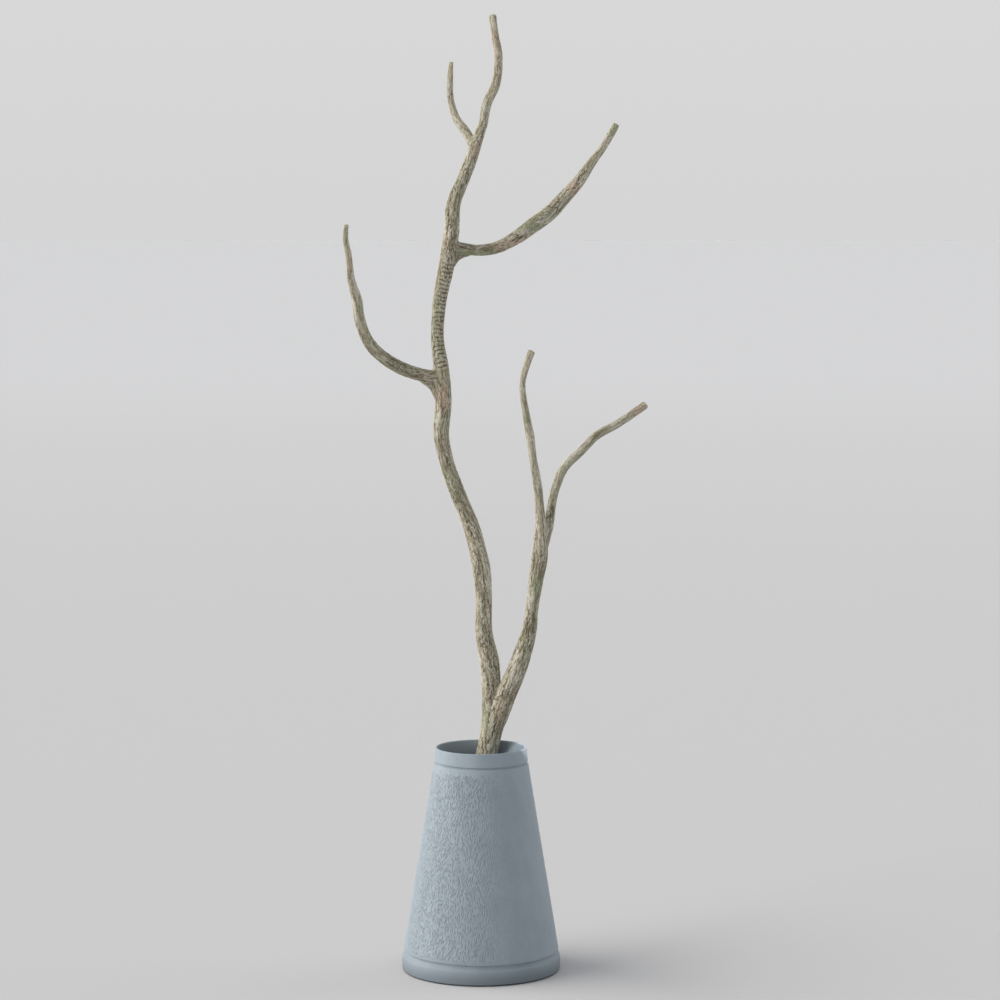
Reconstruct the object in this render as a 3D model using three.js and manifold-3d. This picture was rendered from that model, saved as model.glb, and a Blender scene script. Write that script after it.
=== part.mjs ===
// A dry forked branch, bare of leaves, standing in a tapered stoneware vase.
// Millimetres, +Z up, +Y to the back. The origin is the centre of the vase's underside.
import * as THREE from 'three';
import { mergeVertices } from 'three/addons/utils/BufferGeometryUtils.js';
import Module from 'manifold-3d';

const wasm = await Module();
wasm.setup();

// ---- driving sizes ----------------------------------------------------------------

const VASE_HEIGHT = 250;
const FOOT_RADIUS = 87;
const BODY_RADIUS = 86.7; // where the cone meets the band round the foot
const SHOULDER_RADIUS = 52.2; // where the cone meets the band round the rim
const MOUTH_RADIUS = 48.2;
const FOOT_BAND = 22; // the plain band round the foot, in height
const RIM_BAND = 17; // the plain band round the rim, in height
const WALL = 5; // at the foot; the wall thins towards the lip
const FLOOR = 6;
const LIP = 2.2; // the lip's thickness
const FOOT_EDGE = 3; // the rounding of the underside's edge
const INNER_CORNER = 8; // the rounding between the floor and the wall
const GROOVE_DEPTH = 1.1;
const GROOVE_HALF_WIDTH = 1.2;
const VASE_SEGMENTS = 48;
const CORNER_STEP = 45; // degrees between two points of a rounded corner

const GAP = 0.3; // between neighbouring pieces of wood
const STEP = 11; // between two rings of a limb
const STOUT_SIDES = 10; // round a stem
const SLENDER_SIDES = 8; // round a twig
const SLENDER = 7; // the radius under which a limb counts as a twig
const WORN_EDGE = 1.2; // the chamfer round the end of each twig
const LINE_DIVISIONS = 40; // measured steps between two points of a limb's centre line

const BARK = { color: 0x9c917a, roughness: 0.85, metalness: 0 };
const STONEWARE = { color: 0x97a4af, roughness: 0.62, metalness: 0 };

// ---- where each limb runs: [x, y, z, radius] ---------------------------------------

// The butt stands in the corner of the vase, crosses to the back rim and leans there.
const BUTT = [
  [-62, -14, 10.6, 12.5],
  [-45, -4, 65, 12.4],
  [-28, 8, 125, 12.6],
  [-10, 20, 185, 12.2],
  [6, 32.2, 236, 12],
  [11, 36.4, 265, 11.8],
  [12, 38, 296, 11.2],
];

// The main stem bows to the left, then swings back over the vase.
const STEM = [
  [11, 37, 320, 11],
  [9, 34, 342, 11],
  [3, 29, 374, 9.8],
  [3, 23, 411, 9.2],
  [0, 20, 449, 10],
  [-11, 20, 494, 9.2],
  [-26, 15, 532, 8.9],
  [-37.5, 6, 566, 8.1],
  [-43.5, -4, 598, 8.8],
  [-41, -10, 636, 9.2],
  [-43, -11, 667, 8.9],
  [-47.5, -7, 706, 7.2],
  [-45, -5, 745, 7.9],
  [-37, -9, 786, 8.8],
  [-32, -10, 819, 8.5],
  [-29.5, -4, 851, 7.9],
  [-17, 6, 883, 7.2],
  [-7.5, 12, 909, 6.8],
];

// Its top runs on as the right-hand twig, cut off square.
const TOP_RIGHT = [
  [-2, 12, 926, 6],
  [2.5, 9, 938, 5.2],
  [6.5, 3, 959, 5.4],
  [16.5, -4, 981, 5.2],
  [19.5, -8, 1010, 4.6],
  [15.5, -5, 1034, 4.3],
  [13, 1, 1055, 4.2],
];

const TOP_LEFT = [
  [-6, 12, 911, 5.5],
  [-16, 20, 929, 5.2],
  [-27.5, 29, 945.5, 4.4],
  [-33.5, 35, 967, 3.7],
  [-34, 38, 987, 3.6],
  [-33, 44, 1007, 2.8],
];

const LEFT = [
  [-45, -11, 662, 6.6],
  [-71, -20, 666, 7.2],
  [-97, -34, 678, 7.1],
  [-118.5, -50, 697.5, 6.6],
  [-129.5, -61, 723, 6.1],
  [-133, -64, 747, 5.8],
  [-139, -68, 769, 4.4],
  [-141, -78, 794, 3.7],
  [-144, -83, 813, 3.2],
  [-143, -86, 828, 2.7],
];

const RIGHT = [
  [-31, -9, 804, 7],
  [-5, 1, 800, 6.3],
  [17, 11, 803, 6.9],
  [39, 22, 814, 7.7],
  [57.5, 32, 827.5, 8.6],
  [76.5, 39, 841.5, 8.6],
  [95, 43, 861, 7.6],
  [109, 48, 877, 6.7],
  [123, 58, 897, 5.2],
  [135.5, 66, 913.5, 4.2],
  [145.5, 70, 930.5, 4.4],
  [151, 71, 940, 3.9],
];

// The side stem parts from the butt just above the rim.
const SIDE = [
  [8, 33, 238, 10.5],
  [14, 34, 265, 11.2],
  [24, 31, 293, 11.6],
  [35, 25, 321, 11.2],
  [45, 16, 349, 10.4],
  [53, 6, 377, 8.6],
  [57, -4, 410, 7.2],
  [61, -10, 439, 8.3],
  [65, -13, 464, 9.2],
  [66, -16, 489, 7.7],
];

const SIDE_LEFT = [
  [65, -19, 513, 5.5],
  [62, -26, 545, 4.9],
  [57, -36, 574, 4.4],
  [54, -43, 598, 4.8],
  [49, -46, 625, 4.1],
  [45.5, -52, 655, 3.4],
  [50, -60, 677, 3.8],
  [55, -65, 692, 4.2],
];

const SIDE_RIGHT = [
  [67, -13, 471, 6.6],
  [74, -11, 497, 6.1],
  [78, -6, 521, 5],
  [83, 2, 540, 5],
  [92, 12, 560, 5.3],
  [110, 22, 577, 4.8],
  [129, 31, 595, 5],
  [151.5, 43, 606.5, 4.7],
  [172.5, 56, 619.5, 4.7],
  [184, 63, 627, 4.6],
];

// ---- solids ------------------------------------------------------------------------

function toSolid(geometry) {
  const bare = geometry.clone();
  bare.deleteAttribute('normal');
  bare.deleteAttribute('uv');
  const merged = mergeVertices(bare);
  const vertProperties = merged.attributes.position.array;
  const triVerts = Uint32Array.from(merged.index.array);
  return new wasm.Manifold(new wasm.Mesh({ numProp: 3, vertProperties, triVerts }));
}

function toGeometry(solid) {
  const { vertProperties, triVerts } = solid.getMesh();
  const geometry = new THREE.BufferGeometry();
  geometry.setAttribute('position', new THREE.BufferAttribute(vertProperties, 3));
  geometry.setIndex(new THREE.BufferAttribute(triVerts, 1));
  geometry.computeVertexNormals();
  return geometry;
}

function named(name, geometry, finish) {
  const mesh = new THREE.Mesh(geometry, new THREE.MeshStandardMaterial(finish));
  mesh.name = name;
  return mesh;
}

// ---- limbs -------------------------------------------------------------------------

// A limb's centre line through its points, with a radius that changes smoothly along it.
class Limb {
  constructor(points) {
    this.last = points.length - 1;
    this.line = new THREE.CatmullRomCurve3(points.map(([x, y, z]) => new THREE.Vector3(x, y, z)));
    this.girth = new THREE.SplineCurve(points.map((point, index) => new THREE.Vector2(index, point[3])));
    this.line.arcLengthDivisions = LINE_DIVISIONS * this.last;
  }

  // The distance along the limb at which it passes one of its points.
  distanceAt(index) {
    const lengths = this.line.getLengths();
    return lengths[Math.round((index / this.last) * (lengths.length - 1))];
  }

  shareAt(distance) {
    return THREE.MathUtils.clamp(distance / this.line.getLength(), 0, 1);
  }

  radiusAt(distance) {
    return this.girth.getPoint(this.line.getUtoTmapping(this.shareAt(distance))).y;
  }

  ring(distance, sides, inset = 0) {
    const middle = this.line.getPointAt(this.shareAt(distance));
    const along = this.line.getTangentAt(this.shareAt(distance));
    const across = new THREE.Vector3(0, 1, 0).cross(along).normalize();
    const outward = new THREE.Vector3().crossVectors(along, across);
    const radius = this.radiusAt(distance) - inset;
    const ring = [];
    for (let side = 0; side < sides; side += 1) {
      const angle = (2 * Math.PI * side) / sides;
      const point = middle.clone();
      point.addScaledVector(across, radius * Math.cos(angle));
      point.addScaledVector(outward, radius * Math.sin(angle));
      ring.push(point);
    }
    return ring;
  }

  // The closed solid from one distance along the limb to another, with its ends cut square.
  piece(from, to, worn = 0) {
    const sides = this.radiusAt((from + to) / 2) < SLENDER ? SLENDER_SIDES : STOUT_SIDES;
    const steps = Math.ceil((to - from) / STEP);
    const rings = [];
    for (let step = 0; step < steps; step += 1) {
      rings.push(this.ring(from + ((to - from) * step) / steps, sides));
    }
    if (worn > 0) rings.push(this.ring(to - worn, sides));
    rings.push(this.ring(to, sides, worn));
    return toSolid(loft(rings));
  }

  // From one distance to the limb's own end, whose edge is worn.
  outerPiece(from) {
    return this.piece(from, this.line.getLength(), WORN_EDGE);
  }
}

// Rings of equal count joined into a skin and closed by a fan at each end.
function loft(rings) {
  const sides = rings[0].length;
  const corners = rings.flat();
  const triangles = [];
  for (let level = 0; level + 1 < rings.length; level += 1) {
    for (let side = 0; side < sides; side += 1) {
      const a = level * sides + side;
      const b = level * sides + ((side + 1) % sides);
      triangles.push(a, b, a + sides, b, b + sides, a + sides);
    }
  }
  const top = (rings.length - 1) * sides;
  for (let side = 1; side + 1 < sides; side += 1) {
    triangles.push(0, side + 1, side);
    triangles.push(top, top + side, top + side + 1);
  }
  const geometry = new THREE.BufferGeometry().setFromPoints(corners);
  geometry.setIndex(triangles);
  return geometry;
}

// ---- the branch --------------------------------------------------------------------

const trunk = new Limb([...BUTT, ...STEM, ...TOP_RIGHT]);
const sideLimb = new Limb([...SIDE, ...SIDE_LEFT]);
const sideRight = new Limb(SIDE_RIGHT);
const left = new Limb(LEFT);
const right = new Limb(RIGHT);
const topLeft = new Limb(TOP_LEFT);

// A limb that leaves another is cut off where it has come clear of it. The short stump
// below the cut is one solid with the limb that bears it.
const FIRST_FORK = trunk.distanceAt(BUTT.length);
const TOP_FORK = trunk.distanceAt(BUTT.length + STEM.length);
const SIDE_FORK = sideLimb.distanceAt(SIDE.length);
const SIDE_STUMP = sideLimb.distanceAt(3);
const SIDE_RIGHT_STUMP = sideRight.distanceAt(2);
const LEFT_STUMP = 20;
const RIGHT_STUMP = 20;
const TOP_LEFT_STUMP = 21;

const butt = trunk.piece(0, FIRST_FORK).add(sideLimb.piece(0, SIDE_STUMP));
const mainStem = trunk
  .piece(FIRST_FORK + GAP, TOP_FORK)
  .add(left.piece(0, LEFT_STUMP))
  .add(right.piece(0, RIGHT_STUMP))
  .add(topLeft.piece(0, TOP_LEFT_STUMP));
const sideStem = sideLimb
  .piece(SIDE_STUMP + GAP, SIDE_FORK)
  .add(sideRight.piece(0, SIDE_RIGHT_STUMP));

// ---- the vase ----------------------------------------------------------------------

const CONE_TOP = VASE_HEIGHT - RIM_BAND;

function coneRadius(height) {
  const share = (height - FOOT_BAND) / (CONE_TOP - FOOT_BAND);
  return THREE.MathUtils.lerp(BODY_RADIUS, SHOULDER_RADIUS, share);
}

// A shallow groove turned into the outside, a band of plain clay on one side of it.
function groove(height) {
  const radius = coneRadius(height);
  return [
    [radius, height - GROOVE_HALF_WIDTH],
    [radius - GROOVE_DEPTH, height],
    [radius, height + GROOVE_HALF_WIDTH],
  ];
}

// A rounded corner of the outline, from one angle in degrees to another.
function rounded(centreRadius, centreHeight, size, fromDegrees, toDegrees) {
  const turn = toDegrees - fromDegrees;
  const steps = Math.abs(turn) / CORNER_STEP;
  const points = [];
  for (let step = 0; step <= steps; step += 1) {
    const angle = THREE.MathUtils.degToRad(fromDegrees + (turn * step) / steps);
    points.push([centreRadius + size * Math.cos(angle), centreHeight + size * Math.sin(angle)]);
  }
  return points;
}

function vase() {
  const innerCorner = FOOT_RADIUS - WALL - INNER_CORNER;
  const outline = [
    [0, 0],
    ...rounded(FOOT_RADIUS - FOOT_EDGE, FOOT_EDGE, FOOT_EDGE, -90, 0),
    ...groove(FOOT_BAND),
    ...groove(CONE_TOP),
    ...rounded(MOUTH_RADIUS + LIP / 2, VASE_HEIGHT - LIP / 2, LIP / 2, 0, 180),
    [MOUTH_RADIUS, CONE_TOP],
    ...rounded(innerCorner, FLOOR + INNER_CORNER, INNER_CORNER, 0, -90),
    [0, FLOOR],
  ].map(([radius, height]) => new THREE.Vector2(radius, height));
  const turned = new THREE.LatheGeometry(outline, VASE_SEGMENTS).rotateX(Math.PI / 2);
  return toGeometry(toSolid(turned));
}

// ---- the whole object --------------------------------------------------------------

const object = new THREE.Group();
object.add(named('vase', vase(), STONEWARE));

const wood = {
  butt,
  main_stem: mainStem,
  left_branch: left.outerPiece(LEFT_STUMP + GAP),
  right_branch: right.outerPiece(RIGHT_STUMP + GAP),
  top_twig_left: topLeft.outerPiece(TOP_LEFT_STUMP + GAP),
  top_twig_right: trunk.outerPiece(TOP_FORK + GAP),
  side_stem: sideStem,
  side_twig_left: sideLimb.outerPiece(SIDE_FORK + GAP),
  side_twig_right: sideRight.outerPiece(SIDE_RIGHT_STUMP + GAP),
};
for (const [name, solid] of Object.entries(wood)) {
  object.add(named(name, toGeometry(solid), BARK));
}

export default object;
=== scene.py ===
# %% [markdown]
# # A dry branch in a stoneware vase
# A forked branch, bare of leaves and greyed by the weather, stands in a tapered vase with a
# matt glaze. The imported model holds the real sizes: the vase, and the branch as nine pieces
# that meet at its forks. This lesson grows the visible surfaces over them. The vase is turned
# on a wheel made of nodes. The branch is drawn as lines, given flesh, fused into one skin,
# grained, and then taken apart again at the same cuts.

# %% The frame
import math

import bpy
import numpy as np
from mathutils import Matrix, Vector


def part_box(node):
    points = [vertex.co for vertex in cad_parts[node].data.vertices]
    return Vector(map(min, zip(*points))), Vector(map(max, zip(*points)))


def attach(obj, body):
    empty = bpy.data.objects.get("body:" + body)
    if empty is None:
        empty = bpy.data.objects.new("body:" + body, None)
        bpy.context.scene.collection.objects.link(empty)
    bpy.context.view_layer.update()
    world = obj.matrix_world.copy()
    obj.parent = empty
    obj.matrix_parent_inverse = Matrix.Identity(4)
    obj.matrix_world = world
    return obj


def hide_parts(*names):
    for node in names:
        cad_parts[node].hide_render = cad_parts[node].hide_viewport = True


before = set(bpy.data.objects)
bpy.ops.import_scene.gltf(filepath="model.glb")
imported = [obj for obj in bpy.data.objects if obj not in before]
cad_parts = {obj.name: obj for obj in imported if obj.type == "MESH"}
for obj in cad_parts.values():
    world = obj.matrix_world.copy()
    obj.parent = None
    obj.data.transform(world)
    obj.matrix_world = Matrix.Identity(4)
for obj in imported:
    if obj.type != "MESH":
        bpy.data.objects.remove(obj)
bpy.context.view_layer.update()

MM = 0.001

# %% [markdown]
# ## The camera
# A long lens from a few metres away keeps the limbs nearly parallel, as a catalogue picture
# does. It stands a little above half the branch's height and looks slightly down, so that the
# mouth of the vase opens into a thin ellipse. It stays a touch to the right of the vase's axis.

# %% Camera
CAMERA_PLACE = (0.02105, -3.36, 0.8175)
CAMERA_DROP = math.radians(4.97)
CAMERA_LENS = 110.0


def placed(name, data):
    """An object at the origin, unturned, in the scene."""
    thing = bpy.data.objects.new(name, data)
    bpy.context.collection.objects.link(thing)
    return thing


camera = placed("camera", bpy.data.cameras.new("camera"))
camera.location = CAMERA_PLACE
camera.rotation_euler = (math.pi / 2 - CAMERA_DROP, 0.0, 0.0)
camera.data.lens = CAMERA_LENS
camera.data.sensor_width = 36.0
camera.data.clip_end = 1000.0
bpy.context.scene.camera = camera
print("camera: lens", CAMERA_LENS, "mm, tilted down", round(math.degrees(CAMERA_DROP), 2), "degrees")

# %% [markdown]
# ## One node at a time
# Every tree in this lesson, for shapes and for finishes alike, is built with one function.
# `add` puts a node in a tree, gives it its settings, and fills its sockets with plain values
# or with links from other nodes. A list fills the sockets in order; a dictionary names them.
# A new finish comes with nodes of its own, which `emptied` takes out first.
# The short words below spare the reader the long names of the nodes that are used most.

# %% Adding a node
MATH, VECTOR, RANGE = "ShaderNodeMath", "ShaderNodeVectorMath", "ShaderNodeMapRange"
PLUS, MINUS, TIMES, OVER, LARGER, TIMES_PLUS = (
    {"operation": word} for word in ("ADD", "SUBTRACT", "MULTIPLY", "DIVIDE", "MAXIMUM", "MULTIPLY_ADD"))
SMOOTH = {"interpolation_type": "SMOOTHSTEP"}


def add(tree, kind, inputs=(), **settings):
    """One node, with its settings and what goes into its sockets."""
    node = tree.nodes.new(kind)
    for name, value in settings.items():
        setattr(node, name, value)
    named = inputs if isinstance(inputs, dict) else dict(enumerate(inputs))
    for key, value in named.items():
        source = value.outputs[0] if isinstance(value, bpy.types.Node) else value
        if isinstance(source, bpy.types.NodeSocket):
            tree.links.new(source, node.inputs[key])
        else:
            node.inputs[key].default_value = source
    return node


def emptied(owner):
    """The tree of a new material or world, with nothing in it."""
    owner.use_nodes = True
    owner.node_tree.nodes.clear()
    return owner.node_tree


print("tools: add and emptied, with short names for", MATH, VECTOR, "and", RANGE)

# %% [markdown]
# ## Colours
# A swatch is written as a hex code, as on a paint card, which is bent to suit the eye. The
# renderer counts light, so each swatch is straightened once, here, before it is used.

# %% Colours
def linear(swatch):
    """A hex sRGB colour as linear light, with full alpha."""
    parts = [int(swatch[i:i + 2], 16) / 255 for i in (1, 3, 5)]
    light = [p / 12.92 if p <= 0.04045 else ((p + 0.055) / 1.055) ** 2.4 for p in parts]
    return (*light, 1.0)


print("colours: a middle grey swatch reflects", round(linear("#808080")[0], 3), "of the light")

# %% [markdown]
# ## Growing a mesh from a tree
# A tree of geometry nodes could stay on an object as a live modifier, but the finished part
# must be plain meshes. `grow` lends the tree to an object, takes a copy of what comes out and
# removes the modifier again. A tree has one named input for each of its sizes, and it always
# ends the same way: instances are made real and a material is set.

# %% Trees
def new_tree(name, sizes):
    """A tree of geometry nodes with a named input for each of its sizes."""
    tree = bpy.data.node_groups.new(name, "GeometryNodeTree")
    tree.interface.new_socket("Geometry", in_out="INPUT", socket_type="NodeSocketGeometry")
    for label, value in sizes.items():
        kind = "NodeSocketInt" if isinstance(value, int) else "NodeSocketFloat"
        tree.interface.new_socket(label, in_out="INPUT", socket_type=kind).default_value = value
    tree.interface.new_socket("Geometry", in_out="OUTPUT", socket_type="NodeSocketGeometry")
    return tree, add(tree, "NodeGroupInput").outputs


def close_tree(tree, geometry, material):
    """The end of every tree: no instances, one material, then the output."""
    real = add(tree, "GeometryNodeRealizeInstances", [geometry])
    dressed = add(tree, "GeometryNodeSetMaterial", {"Geometry": real, "Material": material})
    add(tree, "NodeGroupOutput", [dressed])


def frozen(source):
    """A plain mesh of what an object's modifiers make of it."""
    view = bpy.context.evaluated_depsgraph_get()
    return bpy.data.meshes.new_from_object(source.evaluated_get(view), depsgraph=view)


def grow(source, tree, sizes):
    """The mesh that a tree makes from an object, with these sizes."""
    modifier = source.modifiers.new(tree.name, "NODES")
    modifier.node_group = tree
    for item in tree.interface.items_tree:
        if item.in_out == "INPUT" and item.name in sizes:
            modifier[item.identifier] = sizes[item.name]
    mesh = frozen(source)
    source.modifiers.remove(modifier)
    return mesh


print("tools: new_tree, close_tree, frozen and grow")

# %% [markdown]
# ## Three patterns
# Fired clay that was pressed, and wood above all, are marked by spots that have been drawn out
# one way. `streaks` is a noise whose spots are so many millimetres wide and so many long, with
# a fixed seed. `seam` keeps only the line where such a noise crosses its middle: drawn out, it
# makes the wandering cracks that meet at sharp angles, as they do in dry wood. `patches` keeps
# the high spots, for marks that come in some places and not in others. All work in a tree for
# shapes and in one for finishes, so that a colour can follow a shape.

# %% Patterns
def streaks(tree, grain, across, along, seed, detail=1.0, roughness=0.5):
    """Noise from 0 to 1 whose spots are `across` mm wide and `along` mm long."""
    size = add(tree, "ShaderNodeCombineXYZ", [across, across, along])
    scaled = add(tree, VECTOR, [grain, size], **OVER)
    moved = add(tree, VECTOR, [scaled, (seed * 3.7, seed * 5.3, seed * 7.9)], **PLUS)
    return add(tree, "ShaderNodeTexNoise",
               {"Vector": moved, "Scale": 1.0, "Detail": detail, "Roughness": roughness})


def seam(tree, pattern, width):
    """1 where the pattern crosses its middle, falling to 0 at `width` on either side."""
    off = add(tree, MATH, [pattern, 0.5], **MINUS)
    away = add(tree, MATH, [off], operation="ABSOLUTE")
    return add(tree, RANGE, [away, 0.0, width, 1.0, 0.0], **SMOOTH)


def patches(tree, grain, across, along, seed, climb, **noise):
    """Where streaks climb between two values: 0 to 1, or to and from the next two in `climb`."""
    return add(tree, RANGE, [streaks(tree, grain, across, along, seed, **noise), *climb], **SMOOTH)


print("patterns: streaks, seam and patches")

# %% [markdown]
# ## Where the cone is marked
# The marks in the clay are strongest on the cone's left front and fade out to both sides, so
# that the right side is almost smooth. A direction round the vase's axis, and how far it is
# from that front, gives the share; the relief and the finish both use it, so that they agree.

# %% Share of the marks round the cone
PRESSED_TURN = math.radians(-30)
PRESSED_REACH = (math.radians(22), math.radians(62))
LEAST_PRESSED = 0.25


def left_front(tree, apart):
    """1 on the cone's left front, down to LEAST_PRESSED away from it."""
    forward = add(tree, MATH, [apart["Y"], -1.0], **TIMES)
    turn = add(tree, MATH, [apart["X"], forward], operation="ARCTAN2")
    off = add(tree, MATH, [add(tree, MATH, [turn, PRESSED_TURN], **MINUS)], operation="ABSOLUTE")
    return add(tree, RANGE, [off, *PRESSED_REACH, 1.0, LEAST_PRESSED], **SMOOTH)


print("marked: within", [round(math.degrees(reach)) for reach in PRESSED_REACH], "degrees")

# %% [markdown]
# ## The vase's finish: a matt glaze on stoneware
# The real vase is thrown or slip-cast stoneware under a dull blue-grey glaze. Fired matt, the
# glaze has no sharp highlight, only a broad soft sheen: a plain dielectric with a high
# roughness gives that. Its colour drifts a little where the glaze ran thicker, and pits over a
# millimetre wide and four and a half tall break the sheen of the cone's left front, while the bands
# are smooth. The foot band is painted darker towards the bottom as painted shade, and its last
# few millimetres are a near-black painted contact shadow. A flat colour would look like painted plastic.

# %% Matt stoneware glaze
GLAZE = "#8f9ba4"
GLAZE_THIN = "#95a0a9"
GLAZE_POOLED = "#89959f"
# painted shade: the foot band's colour, darker towards the bottom
FOOT_PAINTED_SHADE = "#6f7981"
# painted contact shadow: near black over the vase's bottom few millimetres
PAINTED_CONTACT_SHADOW = "#30353a"
FOOT_SHADE_TOP = 21.5
GLAZE_IOR = 1.5
MOTTLE_MM = 22.0
PIT_MM = 1.35
PIT_TALL = 3.4
PIT_DEPTH = 0.9
PIT_CLIMB = (0.1, 0.6)
PITS_FROM, PITS_TO = 28.0, 224.0
PIT_FADE, PIT_REST = 5.0, 0.15
CONTACT_SHADOW_TOP = (0.8, 2.6)
GLOSS = (0.56, 0.66)


def matt_stoneware():
    material = bpy.data.materials.new("matt stoneware glaze")
    tree = emptied(material)
    place = add(tree, "ShaderNodeTexCoord").outputs["Object"]
    in_mm = add(tree, VECTOR, {0: place, "Scale": 1 / MM}, operation="SCALE")
    mottle = streaks(tree, in_mm, MOTTLE_MM, 1.6 * MOTTLE_MM, 2.0, detail=4.0, roughness=0.6)
    cells = add(tree, VECTOR, [in_mm, (PIT_MM, PIT_MM, PIT_TALL * PIT_MM)], **OVER)
    from_middle = add(tree, "ShaderNodeTexVoronoi", {"Vector": cells, "Scale": 1.0})
    pits = add(tree, RANGE, [from_middle, *PIT_CLIMB], **SMOOTH)
    apart = add(tree, "ShaderNodeSeparateXYZ", [in_mm]).outputs
    height = apart["Z"]
    pressed = left_front(tree, apart)
    above = add(tree, RANGE, [height, PITS_FROM - PIT_FADE, PITS_FROM], **SMOOTH)
    below = add(tree, RANGE, [height, PITS_TO, PITS_TO + PIT_FADE, 1.0, PIT_REST], **SMOOTH)
    pitted = pits
    for share in (above, below, pressed):
        pitted = add(tree, MATH, [pitted, share], **TIMES)
    mottled = add(tree, "ShaderNodeValToRGB", [mottle])
    low, high = mottled.color_ramp.elements
    low.position, low.color = 0.3, linear(GLAZE_POOLED)
    high.position, high.color = 0.7, linear(GLAZE_THIN)
    mottled.color_ramp.elements.new(0.5).color = linear(GLAZE)
    tone = mottled.outputs[0]
    # painted shade on the foot band: strongest at the bottom, a quarter as strong at its groove, none above
    shade_down = add(tree, RANGE, [height, 2.0, FOOT_SHADE_TOP, 1.0, 0.25], **SMOOTH)
    on_band = add(tree, RANGE, [height, FOOT_SHADE_TOP - 1.0, FOOT_SHADE_TOP + 1.0, 1.0, 0.0], **SMOOTH)
    foot_shade = add(tree, MATH, [shade_down, on_band], **TIMES)
    # painted contact shadow where the vase meets the floor, fading out a few millimetres up
    bare = add(tree, RANGE, [height, *CONTACT_SHADOW_TOP, 1.0, 0.0], **SMOOTH)
    for share, colour in ((foot_shade, FOOT_PAINTED_SHADE), (bare, PAINTED_CONTACT_SHADOW)):
        tone = add(tree, "ShaderNodeMix", {0: share, 6: tone, 7: linear(colour)},
                   data_type="RGBA").outputs[2]
    gloss = add(tree, RANGE, [mottle, 0.2, 0.8, *GLOSS], **SMOOTH)
    bump = add(tree, "ShaderNodeBump", {"Strength": 1.0, "Distance": PIT_DEPTH * MM, "Height": pitted})
    body = add(tree, "ShaderNodeBsdfPrincipled",
               {"Base Color": tone, "Roughness": gloss, "IOR": GLAZE_IOR, "Normal": bump})
    add(tree, "ShaderNodeOutputMaterial", [body])
    return material


stoneware = matt_stoneware()
print("finish:", stoneware.name, "with", len(stoneware.node_tree.nodes), "nodes")

# %% [markdown]
# ## The vase's outside
# Seen from the side, the wall is a straight cone between two plain bands. Each band is set off
# by a groove that the potter's tool left: it drops steeply on the side of the cone and climbs
# gently to the band. The foot band is bowed.

# %% Outside of the wall
_, vase_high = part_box("vase")
VASE_HEIGHT = vase_high.z / MM
FOOT_RADIUS = vase_high.x / MM
BODY_RADIUS = FOOT_RADIUS - 0.3
SHOULDER_RADIUS = 52.2
MOUTH_RADIUS = 48.2
LIP = 2.6
FOOT_BAND = 21.2
BAND_BOW = 1.3
FOOT_TUCK = -0.3
SHOULDER = VASE_HEIGHT - 16.6
GROOVES = {FOOT_BAND: (2.7, 2.2, 5.6), SHOULDER: (1.7, 1.8, 1.8)}


def outer_radius(height):
    """The outside's radius at a height, in mm."""
    levels = [0.0, FOOT_BAND, SHOULDER, VASE_HEIGHT - LIP / 2]
    radii = [FOOT_RADIUS - FOOT_TUCK, BODY_RADIUS, SHOULDER_RADIUS, MOUTH_RADIUS + LIP]
    radius = float(np.interp(height, levels, radii))
    share = min(height / FOOT_BAND, 1.0)
    radius += 4 * BAND_BOW * share * (1.0 - share)
    for middle, (depth, above, below) in GROOVES.items():
        off = (height - middle) / (above if height > middle else below)
        radius -= depth * (0.5 + 0.5 * math.cos(math.pi * min(abs(off), 1.0)))
    return radius


slope = math.degrees(math.atan((BODY_RADIUS - SHOULDER_RADIUS) / (SHOULDER - FOOT_BAND)))
print("wall: a cone", round(slope, 1), "degrees off upright,", VASE_HEIGHT, "mm tall")

# %% [markdown]
# ## The whole outline
# A turned shape is one outline carried round an axis. This one runs from the middle of the
# foot, out and up the wall, over the lip, and down the inside to the middle of the floor. The
# foot's edge is rounded under, and the vase stands on a ring a little inside it: the gap round
# the ring draws a dark line. The grooves and corners get close points, and so does the cone,
# because the grain needs them.

# %% Outline of the vase
WALL, FLOOR = 5.0, 6.0
FOOT_RING, FOOT_LIFT = 78.0, 0.7
EDGE, EDGE_ROUNDING = 3.5, 0.8
INNER_CORNER = 8.0
GRAIN_ROW = 1.6


def arc(radius, height, across, upward, start, end, steps):
    """Points on a rounded corner, from one angle in degrees to another."""
    turns = np.radians(np.linspace(start, end, steps + 1))
    return [(radius + across * math.cos(t), height + upward * math.sin(t)) for t in turns]


def outside_points():
    """The wall's points from the rounded foot to the lip, with its heights closer in the grooves."""
    lip = VASE_HEIGHT - LIP / 2
    (foot, (_, foot_above, foot_below)), (top, (_, top_above, top_below)) = GROOVES.items()
    marks = [EDGE, foot - foot_below, foot + foot_above, top - top_below, top + top_above, lip]
    counts = [6, 16, round((marks[3] - marks[2]) / GRAIN_ROW), 12, 6]
    spans = zip(marks, marks[1:], counts)
    heights = [height for low, high, n in spans for height in np.linspace(low, high, n + 1)[:-1]]
    corner = arc(outer_radius(EDGE) - EDGE_ROUNDING, EDGE, EDGE_ROUNDING, EDGE - FOOT_LIFT, -90, 0, 12)
    return corner + [(outer_radius(h), h) for h in heights[1:]]


def inside_points():
    """The inside's points from the lip down to the middle of the floor."""
    inner = FOOT_RADIUS - WALL - INNER_CORNER
    top = np.array((MOUTH_RADIUS, SHOULDER))
    foot = np.array((inner + INNER_CORNER, FLOOR + INNER_CORNER))
    wall = [tuple(top + (foot - top) * share) for share in np.linspace(0, 1, 13)[:-1]]
    corner = arc(inner, FLOOR + INNER_CORNER, INNER_CORNER, INNER_CORNER, 0, -90, 8)
    return wall + corner + [(inner * share, FLOOR) for share in (0.7, 0.35, 0.0)]


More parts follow.
